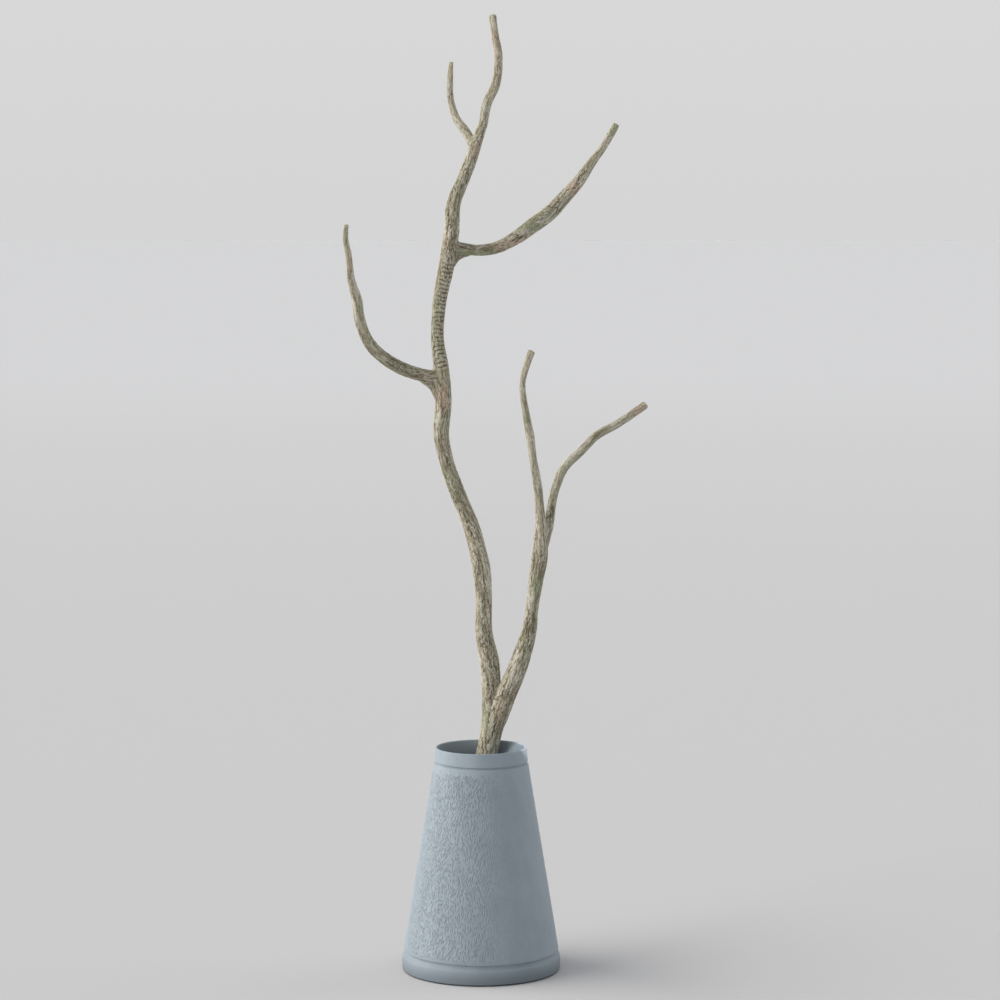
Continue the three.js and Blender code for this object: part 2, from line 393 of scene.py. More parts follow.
underside = [(0.0, 0.0), (FOOT_RING / 2, 0.0), (FOOT_RING - 0.5, 0.0), (FOOT_RING, FOOT_LIFT)]
lip_points = arc(MOUTH_RADIUS + LIP / 2, VASE_HEIGHT - LIP / 2, LIP / 2, LIP / 2, 0, 180, 10)
vase_outline = underside + outside_points() + lip_points + inside_points()
print("outline:", len(vase_outline), "points")

# %% [markdown]
# ## Turning it
# A lathe could be the Screw modifier, but a tree of nodes can press the grain in the same go.
# A flat grid has one row for each point of the outline and one column for each step round the
# axis. Every corner looks up its row's radius and height on the outline and takes its place.
# The grid's own map goes with it, so the turned wall has a map with no overlaps.

# %% The turning nodes
COLUMNS = 420
WELD_MM = 0.01


def turned_shell(tree, given):
    """The grid bent round the axis and welded where it closes and at both middles."""
    around = add(tree, MATH, [given["Columns"], 1.0], **PLUS)
    grid = add(tree, "GeometryNodeMeshGrid",
               {"Size X": 1.0, "Size Y": 1.0, "Vertices X": around, "Vertices Y": given["Rows"]}).outputs
    mapped = add(tree, "GeometryNodeStoreNamedAttribute",
                 {"Geometry": grid["Mesh"], "Name": "OFBake", "Value": grid["UV Map"]},
                 data_type="FLOAT2", domain="CORNER")
    number = add(tree, "GeometryNodeInputIndex")
    row = add(tree, MATH, [number, given["Rows"]], operation="MODULO")
    column = add(tree, MATH, [add(tree, MATH, [number, given["Rows"]], **OVER)], operation="FLOOR")
    turn = add(tree, MATH, [add(tree, MATH, [column, given["Columns"]], **OVER), 2 * math.pi], **TIMES)
    found = add(tree, "GeometryNodeSampleIndex",
                {"Geometry": given["Geometry"], "Index": row,
                 "Value": add(tree, "GeometryNodeInputPosition")},
                data_type="FLOAT_VECTOR", domain="POINT")
    bent = add(tree, "ShaderNodeVectorRotate", {"Vector": found, "Angle": turn}, rotation_type="Z_AXIS")
    shell = add(tree, "GeometryNodeSetPosition", {"Geometry": mapped, "Position": bent})
    return add(tree, "GeometryNodeMergeByDistance", {"Geometry": shell, "Distance": WELD_MM * MM})


print("turning:", COLUMNS, "columns by", len(vase_outline), "rows")

# %% [markdown]
# ## Pressing the grain into it
# The cone was pressed or brushed while the clay was soft: it is covered in short upright
# wrinkles, about two millimetres wide and twice as long, which the fingers feel. They are
# deepest on its left front and a quarter as deep elsewhere. They fade out before each groove,
# and the bands stay plain. They are real relief, in and out along the wall's own normals, on
# the outside only.

# %% The grain nodes
GRAIN_ACROSS, GRAIN_ALONG = 1.8, 3.8
GRAIN_DEPTH = 0.3
GRAIN_REACH = 9.0
GRAIN_SEED = 1.0
GRAIN_CLIMB = (0.25, 0.75)
GRAIN_MIDDLE = 0.6


def pressed_grain(tree, given, shell):
    """Pushes the cone's outside in and out, between the two grooves."""
    place = add(tree, "GeometryNodeInputPosition")
    in_mm = add(tree, VECTOR, {0: place, "Scale": 1 / MM}, operation="SCALE")
    wrinkles = streaks(tree, in_mm, given["Grain across"], given["Grain along"], GRAIN_SEED, detail=1.5)
    apart = add(tree, "ShaderNodeSeparateXYZ", [in_mm]).outputs
    height = apart["Z"]
    start = add(tree, RANGE, [height, FOOT_BAND + 3.0, FOOT_BAND + GRAIN_REACH], **SMOOTH)
    stop = add(tree, RANGE, [height, SHOULDER - 1.6 * GRAIN_REACH, SHOULDER - 4.0, 1.0, 0.0], **SMOOTH)
    facing = add(tree, "GeometryNodeInputNormal")
    outward = add(tree, VECTOR, [facing, place], operation="DOT_PRODUCT").outputs["Value"]
    outside = add(tree, MATH, [outward, 0.0], operation="GREATER_THAN")
    where = add(tree, MATH, [add(tree, MATH, [start, stop], **TIMES), outside], **TIMES)
    where = add(tree, MATH, [where, left_front(tree, apart)], **TIMES)
    wave = add(tree, MATH, [add(tree, RANGE, [wrinkles, *GRAIN_CLIMB], **SMOOTH), GRAIN_MIDDLE], **MINUS)
    swing = add(tree, MATH, [wave, where], **TIMES)
    push = add(tree, MATH, [add(tree, MATH, [swing, given["Grain depth"]], **TIMES), MM], **TIMES)
    offset = add(tree, VECTOR, {0: facing, "Scale": push}, operation="SCALE")
    return add(tree, "GeometryNodeSetPosition", {"Geometry": shell, "Offset": offset})


print("grain:", GRAIN_ACROSS, "by", GRAIN_ALONG, "mm,", GRAIN_DEPTH, "mm deep")

# %% [markdown]
# ## The finished vase
# The outline becomes a line of edges for the tree to look up, the tree runs over it, and the
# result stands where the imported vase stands, so it needs no placing.

# %% Vase
def make_vase():
    mesh = bpy.data.meshes.new("vase outline")
    edges = [(i, i + 1) for i in range(len(vase_outline) - 1)]
    mesh.from_pydata([(r * MM, 0.0, h * MM) for r, h in vase_outline], edges, [])
    wheel = placed("vase outline", mesh)
    sizes = {"Rows": len(vase_outline), "Columns": COLUMNS, "Grain across": GRAIN_ACROSS,
             "Grain along": GRAIN_ALONG, "Grain depth": GRAIN_DEPTH}
    tree, given = new_tree("turned vase", sizes)
    close_tree(tree, pressed_grain(tree, given, turned_shell(tree, given)), stoneware)
    turned = grow(wheel, tree, sizes)
    bpy.data.objects.remove(wheel)
    turned.shade_smooth()
    return placed("stoneware_vase", turned)


vase = make_vase()
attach(vase, "root")
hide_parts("vase")
print("vase:", len(vase.data.polygons), "faces,", len(vase.data.vertices), "corners")

# %% [markdown]
# ## The main stem
# A branch is easiest to describe as the lines that its pith follows, with a thickness at each
# point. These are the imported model's own points: x, y, z and radius in millimetres. The butt
# stands in the vase and leans on its back rim. The main stem bows to the left, swings back
# over the vase, and runs on as the right-hand top twig, which is cut off square.

# %% Line of the main stem
BUTT = [
    (-62, -14, 10.6, 12.5), (-45, -4, 65, 12.4), (-28, 8, 125, 12.6), (-10, 20, 185, 12.2),
    (6, 32.2, 236, 12), (11, 36.4, 265, 11.8), (12, 38, 296, 11.2),
]
STEM = [
    (11, 37, 320, 11), (9, 34, 342, 11), (3, 29, 374, 9.8), (3, 23, 411, 9.2), (0, 20, 449, 10),
    (-11, 20, 494, 9.2), (-26, 15, 532, 8.9), (-37.5, 6, 566, 8.1), (-43.5, -4, 598, 8.8),
    (-41, -10, 636, 9.2), (-43, -11, 667, 8.9), (-47.5, -7, 706, 7.2), (-45, -5, 745, 7.9),
    (-37, -9, 786, 8.8), (-32, -10, 819, 8.5), (-29.5, -4, 851, 7.9), (-17, 6, 883, 7.2),
    (-7.5, 12, 909, 6.8),
]
TOP_RIGHT = [
    (-2, 12, 926, 6), (2.5, 9, 938, 5.2), (6.5, 3, 959, 5.4), (16.5, -4, 981, 5.2),
    (19.5, -8, 1010, 4.6), (15.5, -5, 1034, 4.3), (13, 1, 1055, 4.2),
]
print("main stem:", len(BUTT + STEM + TOP_RIGHT), "points from", BUTT[0][2], "to", TOP_RIGHT[-1][2], "mm up")

# %% [markdown]
# ## What leaves the main stem
# Three limbs leave it: a long one to the left, a stouter one to the right just below the top
# fork, and a thin top twig. Each starts a little inside the stem, so that its flesh grows out
# of the stem's with no step.

# %% Lines of the upper limbs
TOP_LEFT = [
    (-6, 12, 911, 5.5), (-16, 20, 929, 5.2), (-27.5, 29, 945.5, 4.4), (-33.5, 35, 967, 3.7),
    (-34, 38, 987, 3.6), (-33, 44, 1007, 2.8),
]
LEFT = [
    (-45, -11, 662, 6.6), (-71, -20, 666, 7.2), (-97, -34, 678, 7.1), (-118.5, -50, 697.5, 6.6),
    (-129.5, -61, 723, 6.1), (-133, -64, 747, 5.8), (-139, -68, 769, 4.4), (-141, -78, 794, 3.7),
    (-144, -83, 813, 3.2), (-143, -86, 828, 2.7),
]
RIGHT = [
    (-31, -9, 804, 7), (-5, 1, 800, 6.3), (17, 11, 803, 6.9), (39, 22, 814, 7.7),
    (57.5, 32, 827.5, 8.6), (76.5, 39, 841.5, 8.6), (95, 43, 861, 7.6), (109, 48, 877, 6.7),
    (123, 58, 897, 5.2), (135.5, 66, 913.5, 4.2), (145.5, 70, 930.5, 4.4), (151, 71, 940, 3.9),
]
print("upper limbs:", len(TOP_LEFT), len(LEFT), "and", len(RIGHT), "points")

# %% [markdown]
# ## The side stem
# The second stem parts from the butt just above the rim, leans out to the right, and forks
# once into an upright twig and one that reaches far to the right.

# %% Lines of the side stem
SIDE = [
    (8, 33, 238, 10.5), (14, 34, 265, 11.2), (24, 31, 293, 11.6), (35, 25, 321, 11.2),
    (45, 16, 349, 10.4), (53, 6, 377, 8.6), (57, -4, 410, 7.2), (61, -10, 439, 8.3),
    (65, -13, 464, 9.2), (66, -16, 489, 7.7),
]
SIDE_LEFT = [
    (65, -19, 513, 5.5), (62, -26, 545, 4.9), (57, -36, 574, 4.4), (54, -43, 598, 4.8),
    (49, -46, 625, 4.1), (45.5, -52, 655, 3.4), (50, -60, 677, 3.8), (55, -65, 692, 4.2),
]
SIDE_RIGHT = [
    (67, -13, 471, 6.6), (74, -11, 497, 6.1), (78, -6, 521, 5), (83, 2, 540, 5),
    (92, 12, 560, 5.3), (110, 22, 577, 4.8), (129, 31, 595, 5), (151.5, 43, 606.5, 4.7),
    (172.5, 56, 619.5, 4.7), (184, 63, 627, 4.6),
]
print("side stem:", len(SIDE), len(SIDE_LEFT), "and", len(SIDE_RIGHT), "points")

# %% [markdown]
# ## From points to a smooth line
# The line goes through every point as a centripetal Catmull-Rom curve, which never loops
# between close points as a plain one can. The radius changes smoothly along with it.

# %% Smooth routes
def smooth_route(knots, steps=32):
    """Points along a centripetal Catmull-Rom curve, and the number of each knot among them."""
    padded = np.vstack([2 * knots[0] - knots[1], knots, 2 * knots[-1] - knots[-2]])
    padded[0, 3], padded[-1, 3] = knots[0, 3], knots[-1, 3]
    t = np.linspace(0.0, 1.0, steps, endpoint=False)[:, None]
    pieces = []
    for a, b, c, d in zip(padded, padded[1:], padded[2:], padded[3:]):
        before, between, after = (np.linalg.norm((q - p)[:3]) ** 0.5 for p, q in ((a, b), (b, c), (c, d)))
        leaving = (b - a) / before - (c - a) / (before + between) + (c - b) / between
        arriving = (c - b) / between - (d - b) / (between + after) + (d - c) / after
        leaving, arriving = leaving * between, arriving * between
        leaving[3], arriving[3] = (c[3] - a[3]) / 2, (d[3] - b[3]) / 2
        pieces.append((2 * t**3 - 3 * t**2 + 1) * b + (t**3 - 2 * t**2 + t) * leaving
                      + (3 * t**2 - 2 * t**3) * c + (t**3 - t**2) * arriving)
    return np.vstack([*pieces, knots[-1]]), steps * np.arange(len(knots))


print("route: the butt in", len(smooth_route(np.array(BUTT, float))[0]), "points")

# %% [markdown]
# ## Two arms at each step
# The route is marked off in even steps of a millimetre and a half. Each step gets two arms
# square to the line, carried along with as little turning as possible. They say which side of
# the limb a spot is on, so that the grain runs straight up the limb and does not swirl round
# each bend. Limbs that touch are never on the same side: even bears odd, odd bears even.

# %% Limbs
STRIDE = 1.5


def carried_arms(along):
    """Two arms at each step: the first is carried from step to step, the second is square to it."""
    arm = np.cross(along[0], (0.0, -1.0, 0.0))
    first = []
    for direction in along:
        arm = arm - direction * arm.dot(direction)
        arm = arm / np.linalg.norm(arm)
        first.append(arm)
    return np.array(first), np.cross(along, first)


class Limb:
    """One limb: its line in even steps, its radius there, and two arms square to the line."""

    def __init__(self, name, points, side):
        route, at_knots = smooth_route(np.array(points, float))
        strides = np.linalg.norm(np.diff(route[:, :3], axis=0), axis=1)
        travelled = np.concatenate([[0.0], np.cumsum(strides)])
        self.name = name
        self.side = side
        self.length = travelled[-1]
        self.knots = travelled[at_knots]
        self.distance = np.linspace(0.0, self.length, math.ceil(self.length / STRIDE) + 1)
        even = np.stack([np.interp(self.distance, travelled, route[:, i]) for i in range(4)], axis=1)
        self.line, self.radius = even[:, :3], even[:, 3]
        self.along = np.gradient(self.line, self.distance, axis=0)
        self.along /= np.linalg.norm(self.along, axis=1)[:, None]
        self.arms = carried_arms(self.along)


trunk = Limb("trunk", BUTT + STEM + TOP_RIGHT, "even")
side_limb = Limb("side", SIDE + SIDE_LEFT, "odd")
side_right = Limb("side right", SIDE_RIGHT, "even")
left = Limb("left", LEFT, "odd")
right = Limb("right", RIGHT, "odd")
top_left = Limb("top left", TOP_LEFT, "odd")
limbs = [trunk, side_limb, side_right, left, right, top_left]
for limb in limbs:
    thickness = [round(2 * r, 1) for r in (limb.radius.min(), limb.radius.max())]
    print("limb:", limb.name, round(limb.length), "mm long, thickness", thickness, "mm")

# %% [markdown]
# ## Flesh on the lines
# Curve to Mesh carries a ring along each line, as thick as the line's radius says. Three short
# webs fill the armpits where a limb leaves another, as live wood does.

# %% Tubes
TUBE_SIDES = 32
WEBS = [
    [(-45, -11, 640, 6.5), (-53, -13.5, 652, 5), (-64, -17.5, 661, 5)],
    [(-33, -9, 786, 6), (-25, -6.5, 793, 4.4), (-14, -3, 798, 4.6)],
    [(17, 35, 300, 7), (22, 34, 309, 5.5), (22.5, 33, 315, 4)],
]


def tube_tree(sizes):
    tree, given = new_tree("flesh on a line", sizes)
    ring = add(tree, "GeometryNodeCurvePrimitiveCircle", {"Resolution": given["Sides"], "Radius": 1.0})
    girth = add(tree, "GeometryNodeInputRadius")
    tube = add(tree, "GeometryNodeCurveToMesh",
               {"Curve": given["Geometry"], "Profile Curve": ring, "Scale": girth, "Fill Caps": True})
    close_tree(tree, tube, None)
    return tree


def drawn_lines():
    """One curve object with a line for every limb and web."""
    curve = bpy.data.curves.new("limb lines", "CURVE")
    curve.dimensions = "3D"
    routes = [np.column_stack([limb.line, limb.radius]) for limb in limbs]
    routes += [smooth_route(np.array(web, float), steps=8)[0] for web in WEBS]
    for route in routes:
        spline = curve.splines.new("POLY")
        spline.points.add(len(route) - 1)
        for point, (x, y, z, radius) in zip(spline.points, route * MM):
            point.co = (x, y, z, 1.0)
            point.radius = radius
    return placed("limb lines", curve)


lines = drawn_lines()
tubes = placed("tubes", grow(lines, tube_tree({"Sides": TUBE_SIDES}), {"Sides": TUBE_SIDES}))
bpy.data.objects.remove(lines)
print("tubes:", len(limbs), "limbs and", len(WEBS), "webs,", len(tubes.data.polygons), "faces")

# %% [markdown]
# ## One skin over all
# The tubes run into each other at the forks, as separate shells. A boolean join would leave a
# sharp seam there, so a voxel remesh pours one closed skin over them all. The voxels are about
# as small as the finest crack, and small enough that no face shows.

# %% Skin
VOXEL = 0.74


def poured_skin():
    pour = tubes.modifiers.new("pour", "REMESH")
    pour.mode = "VOXEL"
    pour.voxel_size = VOXEL * MM
    poured = frozen(tubes)
    bpy.data.objects.remove(tubes)
    return placed("skin", poured)


def corners(mesh):
    """The mesh's corner places in mm, one row each."""
    flat = np.empty(3 * len(mesh.vertices), np.float32)
    mesh.vertices.foreach_get("co", flat)
    return flat.reshape(-1, 3).astype(float) / MM


skin = poured_skin()
spots = corners(skin.data)
print("skin:", len(spots), "corners,", len(skin.data.polygons), "faces")

# %% [markdown]
# ## Every spot's place on a limb
# The grain needs to know, for each corner of the skin, how far up the limb it is and on which
# side. Each corner is measured against every step of a limb's line, and the step whose flesh
# is nearest counts.

# %% Places on one limb
REACH = 30.0
CHUNK = 8000


def measured(limb):
    """Each spot's height over the limb's flesh, its place (side, side, along) and the way out."""
    above = np.full(len(spots), 2 * REACH)
    place = np.zeros((len(spots), 3))
    out = np.zeros((len(spots), 3))
    inside = (spots > limb.line.min(0) - REACH) & (spots < limb.line.max(0) + REACH)
    near = np.flatnonzero(inside.all(1))
    for part in np.array_split(near, len(near) // CHUNK + 1):
        here = spots[part]
        square = (here**2).sum(1)[:, None] - 2 * here @ limb.line.T + (limb.line**2).sum(1)
        heights = np.sqrt(np.maximum(square, 0.0)) - limb.radius
        step = heights.argmin(1)
        offset = here - limb.line[step]
        ahead = (offset * limb.along[step]).sum(1)
        out[part] = offset - limb.along[step] * ahead[:, None]
        above[part] = heights[np.arange(len(part)), step]
        place[part] = np.stack([(out[part] * limb.arms[0][step]).sum(1),
                                (out[part] * limb.arms[1][step]).sum(1),
                                limb.distance[step] + ahead], axis=1)
    return above, place, out


places = [measured(limb) for limb in limbs]
print("places: the trunk has", int((places[0][0] < 1.0).sum()), "corners within a millimetre")

# %% [markdown]
# ## Two sets of places are enough
# Near a fork a corner belongs to two limbs at once, and marks that jumped from one limb's
# grain to the other's would show a seam. Because limbs that touch are of unlike kind, it is
# enough to keep the nearest even limb and the nearest odd one, with a share that says which
# counts. The marks of one then fade into those of the other across the fork.

# %% Even and odd limbs
BLEND = 1.1
ARMPIT = (7.0, 1.0)


def nearest_of(side):
    """For each spot the nearest limb of one kind: its number, the height over it, place, way out."""
    numbers = [i for i, limb in enumerate(limbs) if limb.side == side]
    heights = np.stack([places[i][0] for i in numbers])
    closest = heights.argmin(0)
    rows = np.arange(len(spots))
    place, out = (np.stack([places[i][k] for i in numbers])[closest, rows] for k in (1, 2))
    return np.array(numbers)[closest], heights.min(0), place, out


def smoothstep(low, high, value):
    """0 at low, 1 at high, and a soft climb between them."""
    share = np.clip((value - low) / (high - low), 0.0, 1.0)
    return share * share * (3.0 - 2.0 * share)


even, odd = nearest_of("even"), nearest_of("odd")
odd_share = 1.0 / (1.0 + np.exp(np.clip((odd[1] - even[1]) / BLEND, -40.0, 40.0)))
crotch = smoothstep(*ARMPIT, np.maximum(even[1], odd[1]))
on_odd = odd_share > 0.5
limb_of = np.where(on_odd, odd[0], even[0])
place_of = np.where(on_odd[:, None], odd[2], even[2])
way_out = np.where(on_odd[:, None], odd[3], even[3])
girth = np.linalg.norm(way_out, axis=1)
way_out = way_out / np.maximum(girth, 0.1)[:, None]
to_tip = np.array([limb.length for limb in limbs])[limb_of] - place_of[:, 2]
print("limbs:", np.bincount(limb_of).tolist(), "corners on each")

# %% [markdown]
# ## Stains, scales and bare patches
# Most of the bark's marks can fall where chance puts them, but a few are what one knows this
# branch by: a scaly patch at the upper fork, green stains, and pink patches where the bark
# has gone. Each is a soft oval on the front, given by its middle, half width, half height and
# strength.

# %% Ovals
SCALY = [(-33, 800, 12, 20, 1.0), (-36, 760, 10, 24, 0.45)]
GREEN = [
    (-14, 797, 14, 5, 0.8), (8, 797, 12, 5, 0.9), (60, 826, 24, 4.5, 0.8), (149, 934, 7, 10, 0.8),
    (63, 432, 7, 16, 1.0), (60, 395, 5, 16, 0.7), (-38, 613, 5, 22, 0.55), (6, 275, 6, 20, 0.7),
    (-98, 678, 28, 6, 0.5), (2, 400, 5, 26, 0.35), (-42, 690, 4, 20, 0.4), (49, 360, 5, 20, 0.5),
]
BARE = [
    (18, 804, 9, 6, 0.6), (34, 808, 16, 5, 0.8), (101, 869, 8, 8, 0.9), (-50, 640, 5, 16, 0.6),
    (-40, 640, 5, 22, 0.9), (15, 1022, 4, 18, 0.7), (-4, 905, 5, 14, 0.6), (178, 622, 12, 6, 0.6),
    (-37, 810, 6, 8, 0.5), (14, 460, 5, 26, 0.35), (21, 284, 7, 20, 0.35), (66, 490, 5, 14, 0.4),
    (-128, 706, 8, 12, 0.3), (-141, 790, 4, 16, 0.4),
]
FRONT = np.array((0.0, -1.0, 0.0))


def ovals(marks):
    """How strongly each corner of the front lies in any of the ovals."""
    front = smoothstep(-0.1, 0.35, way_out @ FRONT)
    strongest = np.zeros(len(spots))
    for x, z, half_width, half_height, strength in marks:
        off = ((spots[:, 0] - x) / half_width) ** 2 + ((spots[:, 2] - z) / half_height) ** 2
        strongest = np.maximum(strongest, strength * smoothstep(1.3, 0.35, off) * front)
    return strongest


scaly, green, bare = ovals(SCALY), ovals(GREEN), ovals(BARE)
print("ovals: green on", int((green > 0.5).sum()), "corners, bare on", int((bare > 0.5).sum()))

# %% [markdown]
# ## The ladder
# The upper stem is crossed by rungs, where the bark has cracked round the stem and not along
# it. They cover the side that faces front and right, between two heights.

# %% Ladder
LADDER_LOW, LADDER_HIGH = 668.0, 790.0
LADDER_FACING = np.array((0.62, -0.78, 0.0))

on_trunk = smoothstep(2.0, 0.5, even[1]) * (even[0] == limbs.index(trunk))
ladder_rise = smoothstep(LADDER_LOW - 4, LADDER_LOW + 8, spots[:, 2])
ladder_fall = smoothstep(LADDER_HIGH + 6, LADDER_HIGH - 12, spots[:, 2])
ladder = on_trunk * smoothstep(0.05, 0.55, way_out @ LADDER_FACING) * ladder_rise * ladder_fall
print("ladder: on", int((ladder > 0.5).sum()), "corners")

# %% [markdown]
# ## Cracks that one can name
# A few long cracks are in known places: the Y below the first fork, those that run up both
# stems, and short slits on the right-hand limb. Each is drawn on the front as a line of
# points, x and z in millimetres, with half its width in front. It wanders a little from side
# to side, and later parts of it heal over, because no real crack is ruled and even.

# %% Drawn cracks
WANDER, WANDER_TURNS = 0.7, 0.8
CRACKS = [
    (1.1, (25, 316), (24, 306), (18, 300), (11, 298), (14, 289), (16.5, 273), (13, 260), (7, 250)),
    (0.8, (14, 289), (9, 282), (8, 272)),
    (0.9, (3.5, 440), (4.5, 424), (3, 409), (5, 394)),
    (0.9, (0.5, 392), (3, 374), (6, 356), (12, 336)),
    (0.7, (6, 396), (9, 378), (11, 360)),
    (0.9, (-51.5, 697), (-50.5, 682), (-49, 667)),
    (0.8, (54, 404), (50, 388), (43, 368)),
    (0.8, (33, 340), (30, 326), (26, 314)),
    (0.8, (34, 816.5), (41, 817.5)),
    (0.8, (106, 874), (112, 886)),
    (0.9, (-43.5, 638), (-42, 626), (-43, 615)),
    (0.9, (-40.5, 580), (-34, 562), (-25, 545)),
    (0.9, (5, 252), (6.5, 238)),
    (0.8, (1, 256), (2, 240)),
]


def drawn_cracks():
    """How near each corner of the front is to one of the drawn cracks, 1 in a crack's middle."""
    front = smoothstep(-0.05, 0.25, way_out @ FRONT)
    deepest = np.zeros(len(spots))
    here = spots[:, [0, 2]]
    here = here + WANDER * np.sin(here[:, ::-1] * WANDER_TURNS)
    for half_width, *points in CRACKS:
        for start, end in zip(np.array(points, float), np.array(points[1:], float)):
            run = end - start
            share = np.clip((here - start) @ run / (run @ run), 0.0, 1.0)
            away = np.linalg.norm(here - start - share[:, None] * run, axis=1)
            deepest = np.maximum(deepest, smoothstep(half_width, 0.25 * half_width, away) * front)
    return deepest


drawn = drawn_cracks()
print("cracks:", len(CRACKS), "drawn, on", int((drawn > 0.5).sum()), "corners")

# %% [markdown]
# ## Stored on the skin
# What was measured is kept on the skin's corners, where the trees can read it. Each limb's
# places start two metres further on than the last one's, so that no two limbs of one kind
# show the same marks.

# %% Stored numbers
APART = 2000.0


def keep(mesh, name, values):
    """Stores one number or direction for each corner of a mesh."""
    kind, field = ("FLOAT_VECTOR", "vector") if values.ndim == 2 else ("FLOAT", "value")
    layer = mesh.attributes.new(name, kind, "POINT")
    layer.data.foreach_set(field, values.astype(np.float32).ravel())


shift = np.array([0.0, 0.0, APART])
known = {
    "grain_even": even[2] + shift * even[0][:, None], "grain_odd": odd[2] + shift * odd[0][:, None],
    "odd_share": odd_share, "girth": girth, "crotch": crotch, "ladder": ladder, "scaly": scaly,
    "drawn": drawn, "green": green, "bare": bare, "to_tip": to_tip,
}
for name, values in known.items():
    keep(skin.data, name, values)
print("stored:", ", ".join(known))

# %% [markdown]
# ## What bark is made of
# Seen close, the limb is not a tube. It is swollen here and there, its strands stand out like
# cords, cracks run between the strands, small scales lift in patches, short pits follow the
# grain, and fine fibres cover the lot. Only depth is carved, so the branch never grows past
# its real size by more than its own swellings. All sizes are in millimetres.

# %% Bark sizes
BARK = {
    "Lump": 1.5, "Cord depth": 0.45, "Crack depth": 0.75, "Scale depth": 0.4, "Pit depth": 0.4,
    "Fibre depth": 0.45, "Rung depth": 0.5, "Rung pitch": 4.6,
}
TWIST = 1 / 170
DRIFT_MM = 6.0
STOUT_MM = 10.0
print("bark:", ", ".join(f"{label.lower()} {size}" for label, size in BARK.items()), "mm")

# %% [markdown]
# ## One group for all the marks
# A group of nodes makes the marks from a place on a limb, so that it can be used twice, once
# for each kind of limb. It starts by making the grain: the place is turned a little as it
# climbs, because branches grow with a twist, and it drifts from side to side.

# %% Grain
def bark_inputs():
    """The empty group, with its named inputs and outputs."""
    tree = bpy.data.node_groups.new("bark marks", "GeometryNodeTree")
    tree.interface.new_socket("Grain", in_out="INPUT", socket_type="NodeSocketVector")
    for label in ("Ladder", "Scaly", "Drawn", "Girth", *BARK):
        tree.interface.new_socket(label, in_out="INPUT", socket_type="NodeSocketFloat")
    for item in tree.interface.items_tree:
        item.default_value = BARK.get(item.name, item.default_value)
    for label in ("Height", "Dark"):
        tree.interface.new_socket(label, in_out="OUTPUT", socket_type="NodeSocketFloat")
    return tree, add(tree, "NodeGroupInput").outputs


def twisted_grain(tree, given):
    """The place on the limb, turned as it climbs and drifting sideways."""
    along = add(tree, "ShaderNodeSeparateXYZ", [given["Grain"]]).outputs["Z"]
    turn = add(tree, MATH, [along, TWIST], **TIMES)
    turned = add(tree, "ShaderNodeVectorRotate", {"Vector": given["Grain"], "Angle": turn},
                 rotation_type="Z_AXIS")
    drift = add(tree, "ShaderNodeTexNoise", {"Vector": turned, "Scale": 0.055, "Detail": 1.0})
    grain = add(tree, VECTOR, [drift.outputs["Color"], (DRIFT_MM, DRIFT_MM, 0.0), turned], **TIMES_PLUS)
    return along, turned, grain


print("grain: one turn in", round(2 * math.pi / TWIST), "mm")

# %% [markdown]
# ## Cracks, scales and pits
# Cracks are seams, and appear only in patches. Scales are cells drawn out along the grain,
# with their borders sunk. Pits are the high spots of a short, narrow noise. Where the ladder
# is, the valleys, cracks and scales are calmed, so that its rungs can be read. Each pattern
# below is given by its width and length in millimetres, its seed, and where it climbs.

# %% Cracks, scales and pits
VALLEYS, VALLEY_WIDTH = (4.3, 60, 2.0), 0.08
SPLITS, SPLIT_WIDTH = (2.8, 28, 3.0), 0.045
CRACK_PATCH = (10, 46, 4.0, (0.46, 0.62))
HEALED = (2.5, 7, 16.0, (0.36, 0.54, 0.2, 1.0))
SCALE_CELLS, SCALE_EDGE = (0.45, 0.45, 0.14), (0.015, 0.1)
SCALE_PATCH = (12, 34, 5.0, (0.5, 0.64))
PIT_PATCH = (8, 30, 12.0, (0.4, 0.6, 0.25, 1.0))
PIT_SPOTS = (1.5, 6, 13.0, (0.56, 0.68))
CALMED = 0.8


def long_marks(tree, given, grain):
    """The cords' valleys, the cracks, the scales' borders and the pits, each from 0 to 1."""
    calm = add(tree, MATH, [given["Ladder"], -CALMED, 1.0], **TIMES_PLUS)
    valley = seam(tree, streaks(tree, grain, *VALLEYS, detail=0.8), VALLEY_WIDTH)
    splits = seam(tree, streaks(tree, grain, *SPLITS, detail=1.2), SPLIT_WIDTH)
    crack = add(tree, MATH, [splits, patches(tree, grain, *CRACK_PATCH)], **TIMES)
    cells = add(tree, VECTOR, [grain, SCALE_CELLS], **TIMES)
    border = add(tree, "ShaderNodeTexVoronoi", {"Vector": cells, "Scale": 1.0}, feature="DISTANCE_TO_EDGE")
    scale_edge = add(tree, RANGE, [border, *SCALE_EDGE, 1.0, 0.0], **SMOOTH)
    scale_where = add(tree, MATH, [patches(tree, grain, *SCALE_PATCH), given["Scaly"]], **LARGER)
    pit = add(tree, MATH, [patches(tree, grain, *PIT_SPOTS), patches(tree, grain, *PIT_PATCH)], **TIMES)
    marks = [valley, crack, add(tree, MATH, [scale_edge, scale_where], **TIMES)]
    valley, crack, scale = (add(tree, MATH, [mark, calm], **TIMES) for mark in marks)
    drawn_here = add(tree, MATH, [given["Drawn"], patches(tree, grain, *HEALED)], **TIMES)
    crack = add(tree, MATH, [crack, drawn_here], **LARGER)
    return valley, crack, scale, pit


print("marks: valleys, cracks, scales and pits")

# %% [markdown]
# ## Rungs
# The rungs of the ladder are thin lines a pitch apart along the stem. A wobble bends each one
# and makes some of them meet, as cracks do. The ground between them is sunk and shaded too.

# %% Rungs
RUNG_HALF = (0.08, 0.26)
LADDER_GROUND = 0.13
WOBBLE = (6, 12, 7.0)
WORN = (4, 5, 14.0, (0.32, 0.5))


